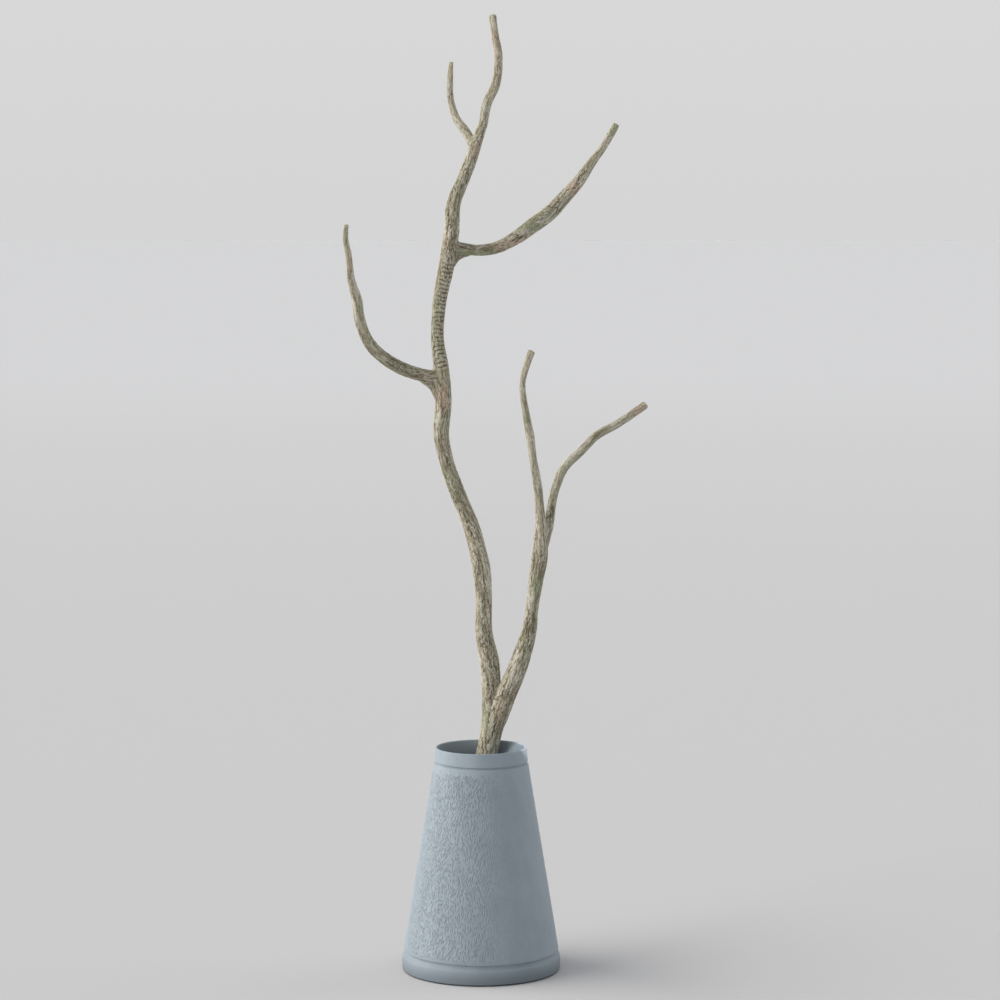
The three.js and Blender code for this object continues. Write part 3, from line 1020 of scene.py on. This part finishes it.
def rungs(tree, given, along, turned):
    """The ladder's rungs, from 0 to 1."""
    wobble = streaks(tree, turned, *WOBBLE, detail=2.0)
    steps = add(tree, MATH, [along, given["Rung pitch"]], **OVER)
    beat = add(tree, MATH, [add(tree, MATH, [steps, wobble], **PLUS)], operation="FRACT")
    away = add(tree, MATH, [add(tree, MATH, [beat, 0.5], **MINUS)], operation="ABSOLUTE")
    line = add(tree, RANGE, [away, *RUNG_HALF, 1.0, 0.0], **SMOOTH)
    left_over = add(tree, MATH, [line, patches(tree, turned, *WORN)], **TIMES)
    shaded = add(tree, MATH, [left_over, LADDER_GROUND], **LARGER)
    return add(tree, MATH, [shaded, given["Ladder"]], **TIMES)


print("rungs:", RUNG_HALF, "of a pitch on either side of the middle")

# %% [markdown]
# ## Height and darkness
# The group gives two numbers. Height is how far the bark stands over the smooth limb. Dark
# says how much of a mark's shade and dirt lies there, for the finish to use.

# %% The bark group
SWELLINGS, BARK_FIBRES = (13, 34, 1.0), (1.5, 8, 6.0)
SHADES = {"Crack depth": 1.0, "Rung depth": 1.0, "Pit depth": 0.6, "Scale depth": 0.55, "Cord depth": 0.35}


def bark_group():
    tree, given = bark_inputs()
    along, turned, grain = twisted_grain(tree, given)
    valley, crack, scale, pit = long_marks(tree, given, grain)
    marks = {"Cord depth": valley, "Crack depth": crack, "Scale depth": scale, "Pit depth": pit,
             "Rung depth": rungs(tree, given, along, turned)}
    stout = add(tree, MATH, [given["Girth"], STOUT_MM], **OVER)
    swelling = add(tree, MATH, [streaks(tree, turned, *SWELLINGS), 0.5], **MINUS)
    height = add(tree, MATH, [add(tree, MATH, [swelling, given["Lump"]], **TIMES), stout], **TIMES)
    fibres = add(tree, MATH, [streaks(tree, grain, *BARK_FIBRES, detail=1.5), 0.5], **MINUS)
    height = add(tree, MATH, [fibres, given["Fibre depth"], height], **TIMES_PLUS)
    dark = 0.0
    for label, mark in marks.items():
        sunk = add(tree, MATH, [mark, given[label]], **TIMES)
        height = add(tree, MATH, [height, sunk], **MINUS)
        dark = add(tree, MATH, [dark, add(tree, MATH, [mark, SHADES[label]], **TIMES)], **LARGER)
    add(tree, "NodeGroupOutput", {"Height": height, "Dark": dark})
    return tree


bark = bark_group()
print("group:", bark.name, "with", len(bark.nodes), "nodes")

# %% [markdown]
# ## The relief tree
# The tree first softens the skin, most of all in the armpits, where the remesh left a crease.
# Then it asks the group twice, mixes the answers by the odd limbs' share, stores them for the
# finish, and pushes each corner along its normal. Slim twigs get shallower marks.

# %% Relief nodes
RELIEF = {"Softening": 3, "Crotch softening": 14, "Depth": 1.0}
SOFTENED_SHARE = 0.6
SLIM_TO_STOUT = (2.0, 9.0, 0.45, 1.0)


def softened(tree, given):
    """The skin, relaxed everywhere a little and in the armpits a lot."""
    shape = given["Geometry"]
    in_crotch = add(tree, "GeometryNodeInputNamedAttribute", ["crotch"], data_type="FLOAT")
    for label, where in (("Softening", SOFTENED_SHARE), ("Crotch softening", in_crotch)):
        place = add(tree, "GeometryNodeInputPosition")
        soft = add(tree, "GeometryNodeBlurAttribute",
                   {"Value": place, "Iterations": given[label], "Weight": where},
                   data_type="FLOAT_VECTOR")
        shape = add(tree, "GeometryNodeSetPosition", {"Geometry": shape, "Position": soft})
    return shape


def both_grains(tree):
    """The group's answers for the even and the odd limb, mixed."""
    read = {name: add(tree, "GeometryNodeInputNamedAttribute", [name], data_type="FLOAT")
            for name in ("ladder", "scaly", "drawn", "girth", "odd_share")}
    sides = []
    for name in ("grain_even", "grain_odd"):
        grain = add(tree, "GeometryNodeInputNamedAttribute", [name], data_type="FLOAT_VECTOR")
        sides.append(add(tree, "GeometryNodeGroup", {
            "Grain": grain, "Ladder": read["ladder"], "Scaly": read["scaly"], "Drawn": read["drawn"],
            "Girth": read["girth"], **BARK}, node_tree=bark).outputs)
    share = read["odd_share"]
    mixed = {label: add(tree, "ShaderNodeMix", {0: share, 2: sides[0][label], 3: sides[1][label]})
             for label in ("Height", "Dark")}
    return mixed, read["girth"]


def relief_tree(wood):
    tree, given = new_tree("bark relief", RELIEF)
    shape = softened(tree, given)
    mixed, girth_there = both_grains(tree)
    for label, value in mixed.items():
        shape = add(tree, "GeometryNodeStoreNamedAttribute",
                    {"Geometry": shape, "Name": label.lower(), "Value": value},
                    data_type="FLOAT", domain="POINT")
    height = add(tree, "GeometryNodeInputNamedAttribute", ["height"], data_type="FLOAT")
    slim = add(tree, RANGE, [girth_there, *SLIM_TO_STOUT], **SMOOTH)
    deep = add(tree, MATH, [add(tree, MATH, [height, slim], **TIMES), given["Depth"]], **TIMES)
    push = add(tree, MATH, [deep, MM], **TIMES)
    offset = add(tree, VECTOR, {0: add(tree, "GeometryNodeInputNormal"), "Scale": push}, operation="SCALE")
    close_tree(tree, add(tree, "GeometryNodeSetPosition", {"Geometry": shape, "Offset": offset}), wood)
    return tree


print("relief:", ", ".join(f"{label.lower()} {size}" for label, size in RELIEF.items()))

# %% [markdown]
# ## The branch's finish: weathered bare wood
# Dead wood that has stood in the rain loses its brown and goes grey. The outermost fibres are
# bleached to cream on the ridges, dirt and old algae stay in the cracks as olive-brown, some
# sides turn green, and where bark has come off lately the wood is still pinkish tan. The cracks,
# pits, scales and rungs are darkened further, partly as dirt and partly as painted shade. It is
# dull all over, and the ends that were cut show fresh wood.

# %% Colours of the wood
CREAM = "#cecabb"
STRAW = "#aca591"
OLIVE_BROWN = "#837b62"
CRACK = "#4c432f"
MOSS = "#929a7a"
PINK = "#c2a794"
CUT_WOOD = "#a29a80"
WOOD_IOR = 1.45
FIBRE_MM = 0.9
STAIN_MM = 26.0
print("wood: from", CREAM, "on the ridges to", CRACK, "in the cracks")

# %% [markdown]
# ## Where each colour lies
# The finish reads what the relief stored, so light ridges and dark cracks lie exactly on the
# shape. Layers lie over each other, each by a share: ridges, hollows, moss, bare patches,
# single fibres, flecks, cracks and, last, the cut ends.

# %% Layers of the wood
BANDS = (3.2, 34.0, 9.0)
STAINED = (STAIN_MM / 2, 2 * STAIN_MM, 10.0, (0.5, 0.65, 0.0, 0.6))
BLUSHING = (9.0, 38.0, 11.0, (0.58, 0.72, 0.0, 0.22))
SPECKLED = (1.1, 3.8, 15.0, (0.54, 0.68, 0.0, 0.78))
DIRT_AND_SHADE_GIRTH = (2.5, 8.0, 0.4, 1.0)
# how far the marks are darkened: part dirt, part painted shade in the cracks, pits and rungs
DIRT_AND_SHADE = 0.85


def wood_layers(tree, read, grain, fibres):
    """The colours in the order in which they lie on each other, each with its share."""
    bands = streaks(tree, grain, *BANDS, detail=2.0)
    stained = patches(tree, grain, *STAINED, detail=3.0, roughness=0.6)
    blushing = patches(tree, grain, *BLUSHING, detail=2.0)
    speckled = patches(tree, grain, *SPECKLED)
    stout = add(tree, RANGE, [read["girth"], *DIRT_AND_SHADE_GIRTH], **SMOOTH)
    raised = add(tree, RANGE, [read["height"], -0.9, 0.5], **SMOOTH)
    banded = add(tree, MATH, [add(tree, MATH, [bands, 0.5], **MINUS), 1.1, raised], **TIMES_PLUS)
    moss = add(tree, MATH, [stained, read["green"]], **LARGER)
    moss_hold = add(tree, RANGE, [fibres, 0.3, 0.6, 0.45, 0.9], **SMOOTH)
    rosy = add(tree, MATH, [blushing, read["bare"]], **LARGER)
    rosy_hold = add(tree, RANGE, [fibres, 0.3, 0.65, 0.4, 0.85], **SMOOTH)
    return [
        (CREAM, add(tree, RANGE, [banded, 0.3, 1.05], **SMOOTH)),
        (OLIVE_BROWN, add(tree, RANGE, [banded, 0.4, -0.1, 0.0, 0.75], **SMOOTH)),
        (MOSS, add(tree, MATH, [moss, moss_hold], **TIMES)),
        (PINK, add(tree, MATH, [rosy, rosy_hold], **TIMES)),
        (OLIVE_BROWN, add(tree, RANGE, [fibres, 0.47, 0.3, 0.0, 0.6], **SMOOTH)),
        (CRACK, add(tree, MATH, [speckled, stout], **TIMES)),
        # dirt and painted shade: cracks, pits, scales and rungs darkened towards the crack colour
        (CRACK, add(tree, MATH, [add(tree, MATH, [read["dark"], stout], **TIMES), DIRT_AND_SHADE], **TIMES)),
        (CUT_WOOD, add(tree, RANGE, [read["to_tip"], 0.3, 1.2, 0.7, 0.0], **SMOOTH)),
    ]


print("layers: eight, over", STRAW)

# %% [markdown]
# ## The material itself
# Wood is a dielectric with no gloss: the roughness is high, and highest in the hollows. The
# fibres that are finer than the mesh are added as a bump, drawn a little coarser than real
# ones, which would be too fine to see from a few metres.

# %% Weathered bare wood
def weathered_wood():
    material = bpy.data.materials.new("weathered bare wood")
    tree = emptied(material)
    names = ("odd_share", "girth", "height", "dark", "green", "bare", "to_tip")
    read = {name: add(tree, "ShaderNodeAttribute", attribute_name=name).outputs["Fac"]
            for name in names}
    grains = [add(tree, "ShaderNodeAttribute", attribute_name=name).outputs["Vector"]
              for name in ("grain_even", "grain_odd")]
    which = add(tree, RANGE, [read["odd_share"], 0.49, 0.51], **SMOOTH)
    grain = add(tree, "ShaderNodeMix", {0: which, 4: grains[0], 5: grains[1]},
                data_type="VECTOR").outputs[1]
    fibres = streaks(tree, grain, FIBRE_MM, 9 * FIBRE_MM, 8.0, detail=3.0, roughness=0.65)
    colour = linear(STRAW)
    for swatch, share in wood_layers(tree, read, grain, fibres):
        layer = add(tree, "ShaderNodeMix", {0: share, 6: colour, 7: linear(swatch)}, data_type="RGBA")
        colour = layer.outputs[2]
    rough = add(tree, RANGE, [read["height"], -0.7, 0.45, 0.92, 0.78], **SMOOTH)
    bump = add(tree, "ShaderNodeBump", {"Strength": 0.5, "Distance": 0.4 * MM, "Height": fibres})
    body = add(tree, "ShaderNodeBsdfPrincipled",
               {"Base Color": colour, "Roughness": rough, "IOR": WOOD_IOR, "Normal": bump})
    add(tree, "ShaderNodeOutputMaterial", [body])
    return material


wood = weathered_wood()
barked = grow(skin, relief_tree(wood), RELIEF)
bpy.data.objects.remove(skin)
print("bark:", len(barked.vertices), "corners, finish", wood.name)

# %% [markdown]
# ## Taken apart again at the cuts
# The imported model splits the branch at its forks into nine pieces, so the skin is split there
# too. Each face goes to the piece that its limb and its distance along it say.

# %% Which face is whose
FIRST_FORK = trunk.knots[len(BUTT)]
TOP_FORK = trunk.knots[len(BUTT) + len(STEM)]
SIDE_FORK = side_limb.knots[len(SIDE)]
SIDE_STUMP = side_limb.knots[3]
SIDE_RIGHT_STUMP = side_right.knots[2]
LEFT_STUMP, RIGHT_STUMP, TOP_LEFT_STUMP = 20.0, 20.0, 21.0
CUTS = [
    (trunk, [(FIRST_FORK, "butt", "main_stem"), (TOP_FORK, "main_stem", "top_twig_right")]),
    (side_limb, [(SIDE_STUMP, "butt", "side_stem"), (SIDE_FORK, "side_stem", "side_twig_left")]),
    (side_right, [(SIDE_RIGHT_STUMP, "side_stem", "side_twig_right")]),
    (left, [(LEFT_STUMP, "main_stem", "left_branch")]),
    (right, [(RIGHT_STUMP, "main_stem", "right_branch")]),
    (top_left, [(TOP_LEFT_STUMP, "main_stem", "top_twig_left")]),
]
PIECES = ["butt", "main_stem", "left_branch", "right_branch", "top_twig_left", "top_twig_right",
          "side_stem", "side_twig_left", "side_twig_right"]

quads = np.empty(4 * len(barked.polygons), np.int32)
barked.loops.foreach_get("vertex_index", quads)
quads = quads.reshape(-1, 4)
face_odd = odd_share[quads].mean(1) > 0.5
face_limb = np.where(face_odd, odd[0][quads[:, 0]], even[0][quads[:, 0]])
face_places = np.where(face_odd[:, None, None], odd[2][quads], even[2][quads])
face_along = face_places[:, :, 2].mean(1)
owner = np.empty(len(quads), int)
for limb, cuts in CUTS:
    on_limb = face_limb == limbs.index(limb)
    owner[on_limb] = PIECES.index(cuts[0][1])
    for distance, below, above in cuts:
        owner[on_limb & (face_along >= distance)] = PIECES.index(above)
print("faces:", dict(zip(PIECES, np.bincount(owner, minlength=len(PIECES)).tolist())))

# %% [markdown]
# ## Flat cuts
# Split like that, a border runs in a zigzag from face to face. Its corners are moved onto the
# plane of the cut, the same way for both neighbours, so that no gap shows between them.

# %% Flat cuts
shape = corners(barked)
moved = 0
for limb, cuts in CUTS:
    for distance, below, above in cuts:
        at = np.array([np.interp(distance, limb.distance, limb.line[:, i]) for i in range(3)])
        along = limb.along[np.searchsorted(limb.distance, distance)]
        shared = np.intersect1d(quads[owner == PIECES.index(below)], quads[owner == PIECES.index(above)])
        shape[shared] -= ((shape[shared] - at) @ along)[:, None] * along
        moved += len(shared)
print("cuts:", moved, "corners moved onto", sum(len(cuts) for _, cuts in CUTS), "planes")

# %% [markdown]
# ## Closing the open ends
# Where a piece was cut off it is open, and a part has to be closed. The sides that no other
# face shares are joined end to end into rings, and each ring gets a fan of triangles. The
# fan's middle is dished in by a hair, so that two neighbours' ends do not lie on each other.

# %% Open ends
DISH = 0.25


def open_rings(faces):
    """The sides that no neighbour in the same piece shares, joined into closed rings."""
    sides = np.stack([faces, np.roll(faces, -1, axis=1)], axis=2).reshape(-1, 2)
    key = sides.min(1).astype(np.int64) * len(shape) + sides.max(1)
    _, first, count = np.unique(key, return_index=True, return_counts=True)
    following = dict(sides[first[count == 1]].tolist())
    rings = []
    while following:
        start, corner = following.popitem()
        ring = [start]
        while corner != start:
            ring.append(corner)
            corner = following.pop(corner)
        rings.append(ring)
    return rings


def closed_piece(number):
    """A piece's corners and faces, a fan for each open end, and the corners they came from."""
    faces = quads[owner == number]
    used, local = np.unique(faces, return_inverse=True)
    points, source, fans = shape[used], used, []
    faces = local.reshape(-1, 4)
    for ring in open_rings(faces):
        middle = points[ring].mean(0)
        inward = points[:len(used)].mean(0) - middle
        points = np.vstack([points, middle + inward / np.linalg.norm(inward) * DISH])
        source = np.append(source, used[ring[0]])
        fans.append([(after, before, len(points) - 1) for before, after in zip(ring, ring[1:] + ring[:1])])
    return points, faces, fans, source


closed = [closed_piece(number) for number in range(len(PIECES))]
print("ends:", [len(fans) for _, _, fans, _ in closed], "closed with fans")

# %% [markdown]
# ## A flat map of each piece
# A finish can be painted or baked onto a piece only if it has a map: a place on a square sheet
# for every face, with no two on top of each other. Here each limb is unrolled like a paper
# tube. A long one is cut into strips, which are laid side by side, and the fans lie as discs
# in a last column. Where a limb's own axis comes out through its rounded end, a face would
# spread right round its strip, so no corner lies further than half a gap from its face's
# middle; the few faces there may still touch. The sheet's side is the smallest that takes all.

# %% Map of a piece
MAP_GAP = 3.0
SMALLEST_SHEET, SHEET_STEP = 20.0, 2.0
HAIR = 0.01


def unrolled(number):
    """Each face's limb, strip, place round the limb (0 to 1) and along it, and the limbs' sizes."""
    mine = owner == number
    place, on_limb, middle = face_places[mine], face_limb[mine], face_along[mine]
    turn = np.arctan2(place[:, :, 1], place[:, :, 0]) / (2 * math.pi) + 0.5
    turn += np.round(turn[:, :1] - turn)
    turn -= np.floor(turn.mean(1))[:, None]
    around = 2 * math.pi * np.linalg.norm(place[:, :, :2], axis=2).mean(1)
    spans = {}
    for i in np.unique(on_limb):
        there = on_limb == i
        spans[int(i)] = (middle[there].min(), np.ptp(middle[there]), np.percentile(around[there], 90))
    return turn, place[:, :, 2], on_limb, middle, spans


def sheet_side(spans, disc):
    """The smallest sheet on which all the strips and the column of discs fit side by side."""
    side = SMALLEST_SHEET
    while True:
        columns = sum(math.ceil((run + HAIR) / (side - 2 * MAP_GAP)) * (girth + MAP_GAP)
                      for _, run, girth in spans.values())
        if columns + disc + MAP_GAP <= side:
            return side
        side += SHEET_STEP


def piece_map(number, points, fans):
    """The map's corner places from 0 to 1, for the piece's faces and then for its fans."""
    turn, along, on_limb, middle, spans = unrolled(number)
    reach = [np.linalg.norm(points[[f[0] for f in fan]] - points[fan[0][2]], axis=1).max() for fan in fans]
    disc = 2 * max(reach)
    side = max(sheet_side(spans, disc), (disc + MAP_GAP) * len(fans) + MAP_GAP)
    usable = side - 2 * MAP_GAP
    across, up = np.zeros_like(turn), np.zeros_like(turn)
    start = 0.0
    for i, (low, run, girth) in spans.items():
        there = on_limb == i
        strip = np.floor((middle[there] - low) / usable)[:, None]
        mid = turn[there].mean(1, keepdims=True)
        sideways = ((turn[there] - mid) * girth).clip(-MAP_GAP / 2, MAP_GAP / 2)
        across[there] = start + (strip + mid) * girth + sideways + (strip + 0.5) * MAP_GAP
        up[there] = along[there] - low - strip * usable + MAP_GAP
        start += math.ceil((run + HAIR) / usable) * (girth + MAP_GAP)
    flat = [np.stack([across.ravel(), up.ravel()], axis=1)]
    for row, fan in enumerate(fans):
        spread = points[np.array(fan)] - points[fan[0][2]]
        axes = np.linalg.svd(spread[:, 0])[2][:2]
        centre = (start + disc / 2, MAP_GAP + disc / 2 + row * (disc + MAP_GAP))
        flat.append((spread @ axes.T + centre).reshape(-1, 2))
    return np.concatenate(flat) / side, side


maps = [piece_map(number, closed[number][0], closed[number][2]) for number in range(len(PIECES))]
lowest, highest = min(places.min() for places, _ in maps), max(places.max() for places, _ in maps)
print(f"maps: sheets of {[round(side) for _, side in maps]} mm, corners {lowest:.4f} to {highest:.4f}")

# %% [markdown]
# ## Nine closed pieces
# Each piece takes its faces, its fans, its map, and all that was stored on its corners. Edges
# sharper than a right angle or so stay crisp: those are the rims of the cut ends.

# %% Pieces of wood
STORED = {"grain_even": 3, "grain_odd": 3, "odd_share": 1, "green": 1, "bare": 1, "to_tip": 1,
          "girth": 1, "dark": 1, "height": 1}
CRISP = math.radians(75)

stored = {}
for name, width in STORED.items():
    flat = np.empty(width * len(barked.vertices), np.float32)
    barked.attributes[name].data.foreach_get("vector" if width == 3 else "value", flat)
    stored[name] = flat.reshape(-1, 3) if width == 3 else flat


def make_piece(number):
    points, faces, fans, source = closed[number]
    fan_faces = np.array([triangle for fan in fans for triangle in fan], int).reshape(-1, 3)
    mesh = bpy.data.meshes.new(PIECES[number])
    mesh.vertices.add(len(points))
    mesh.vertices.foreach_set("co", (points * MM).astype(np.float32).ravel())
    turns = np.concatenate([faces.ravel(), fan_faces.ravel()])
    starts = np.concatenate([4 * np.arange(len(faces)), faces.size + 3 * np.arange(len(fan_faces))])
    mesh.loops.add(len(turns))
    mesh.loops.foreach_set("vertex_index", turns.astype(np.int32))
    mesh.polygons.add(len(starts))
    mesh.polygons.foreach_set("loop_start", starts.astype(np.int32))
    mesh.update(calc_edges=True)
    mesh.uv_layers.new(name="OFBake").data.foreach_set("uv", maps[number][0].astype(np.float32).ravel())
    for name, values in stored.items():
        keep(mesh, name, values[source])
    mesh.materials.append(wood)
    mesh.shade_smooth()
    mesh.set_sharp_from_angle(angle=CRISP)
    return placed("wood_" + PIECES[number], mesh)


for number, node in enumerate(PIECES):
    piece = make_piece(number)
    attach(piece, "root")
    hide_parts(node)
    triangles = sum(len(polygon.vertices) - 2 for polygon in piece.data.polygons)
    print("piece:", piece.name, triangles, "triangles")
bpy.data.meshes.remove(barked)

# %% [markdown]
# ## The floor
# The stage is plain. The floor runs so far back that its edge is the horizon, and it is toned
# a little lighter in the distance, where the sky would wash it out.

# %% Floor
FLOOR_REACH = 400.0
FLOOR_NEAR, FLOOR_FAR = "#c9c9ca", "#d1d2d4"
NEAR, FAR = 0.5, 15.0


def pale_floor():
    material = bpy.data.materials.new("pale floor")
    tree = emptied(material)
    place = add(tree, "ShaderNodeTexCoord").outputs["Object"]
    away = add(tree, VECTOR, [place], operation="LENGTH").outputs["Value"]
    share = add(tree, RANGE, [away, NEAR, FAR], **SMOOTH)
    tone = add(tree, "ShaderNodeMix", {0: share, 6: linear(FLOOR_NEAR), 7: linear(FLOOR_FAR)},
               data_type="RGBA")
    body = add(tree, "ShaderNodeBsdfDiffuse", {"Color": tone.outputs[2]})
    add(tree, "ShaderNodeOutputMaterial", [body])
    return material


slab = bpy.data.meshes.new("floor")
floor_corners = [(x * FLOOR_REACH, y * FLOOR_REACH, 0.0) for x, y in ((-1, -1), (1, -1), (1, 1), (-1, 1))]
slab.from_pydata(floor_corners, [], [(0, 1, 2, 3)])
slab.materials.append(pale_floor())
floor = placed("floor", slab)
print("floor:", 2 * FLOOR_REACH, "m across")

# %% [markdown]
# ## The sky
# An even, faintly cool light comes from all round, as in a white room. What the camera sees of
# it is a quiet grey, matched to the far floor, so that the horizon hardly shows.

# %% Sky
SKY_LIGHT = 0.5
SKY_TINT = "#fafcff"
SKY_SEEN_LOW, SKY_SEEN_HIGH = "#d5d5d5", "#d8d8d8"


def sky():
    world = bpy.data.worlds.new("pale sky")
    tree = emptied(world)
    up = add(tree, "ShaderNodeSeparateXYZ", [add(tree, "ShaderNodeTexCoord").outputs["Generated"]])
    share = add(tree, RANGE, [up.outputs["Z"], 0.0, 0.1], **SMOOTH)
    seen = add(tree, "ShaderNodeMix", {0: share, 6: linear(SKY_SEEN_LOW), 7: linear(SKY_SEEN_HIGH)},
               data_type="RGBA")
    shown = add(tree, "ShaderNodeBackground", {"Color": seen.outputs[2], "Strength": 1.0})
    fill = add(tree, "ShaderNodeBackground", {"Color": linear(SKY_TINT), "Strength": SKY_LIGHT})
    path = add(tree, "ShaderNodeLightPath").outputs["Is Camera Ray"]
    add(tree, "ShaderNodeOutputWorld", [add(tree, "ShaderNodeMixShader", [path, fill, shown])])
    return world


bpy.context.scene.world = sky()
bpy.context.scene.view_settings.view_transform = "Standard"
print("sky: strength", SKY_LIGHT)

# %% [markdown]
# ## Three lights
# The main light is very wide, low and on the left, like a tall softbox at the edge of a table.
# It brushes sideways over the glaze and the bark, so that the grain shows, and hardly lights
# the floor, so that the shadow stays faint. A weak light from behind on the right draws the
# dark edges, and a narrow one reaches over the rim into the mouth of the vase. What misses the
# mouth leaves a small bright spot on the floor, out of this camera's sight.

# %% Lights
# Azimuth 0 is the camera's side and 90 the right; height is over the horizon.
WARM, WHITE = "#fffbf6", "#ffffff"
SIDE_LIGHT = {"azimuth": -88, "height": 11, "spread": 90, "strength": 5.4, "tint": WARM}
BACK_LIGHT = {"azimuth": 115, "height": 20, "spread": 50, "strength": 0.65, "tint": WHITE}
MOUTH_LIGHT = {"azimuth": 16, "height": 46, "watts": 230.0, "distance": 2.0, "cone": 1.2, "size": 0.003}
MOUTH_AIM = Vector((0.034, 0.028, 0.222))
MOUTH_EDGE = 0.35


def direction(azimuth, height):
    """Where a light stands, seen from the vase."""
    turn, rise = math.radians(azimuth), math.radians(height)
    return Vector((math.sin(turn) * math.cos(rise), -math.cos(turn) * math.cos(rise), math.sin(rise)))


def turn_to_vase(light, azimuth, height):
    """Points a light back the way it came, at the vase."""
    light.rotation_euler = direction(azimuth, height).to_track_quat("Z", "Y").to_euler()


def far_light(name, azimuth, height, spread, strength, tint):
    lamp = bpy.data.lights.new(name, "SUN")
    lamp.energy = strength
    lamp.angle = math.radians(spread)
    lamp.color = linear(tint)[:3]
    turn_to_vase(placed(name, lamp), azimuth, height)


def narrow_light(name, azimuth, height, watts, distance, cone, size):
    lamp = bpy.data.lights.new(name, "SPOT")
    lamp.energy = watts
    lamp.spot_size = math.radians(cone)
    lamp.spot_blend = MOUTH_EDGE
    lamp.shadow_soft_size = size
    light = placed(name, lamp)
    light.location = MOUTH_AIM + direction(azimuth, height) * distance
    turn_to_vase(light, azimuth, height)


far_light("side light", **SIDE_LIGHT)
far_light("back light", **BACK_LIGHT)
narrow_light("mouth light", **MOUTH_LIGHT)
print("lights:", [light.name for light in bpy.data.lights])
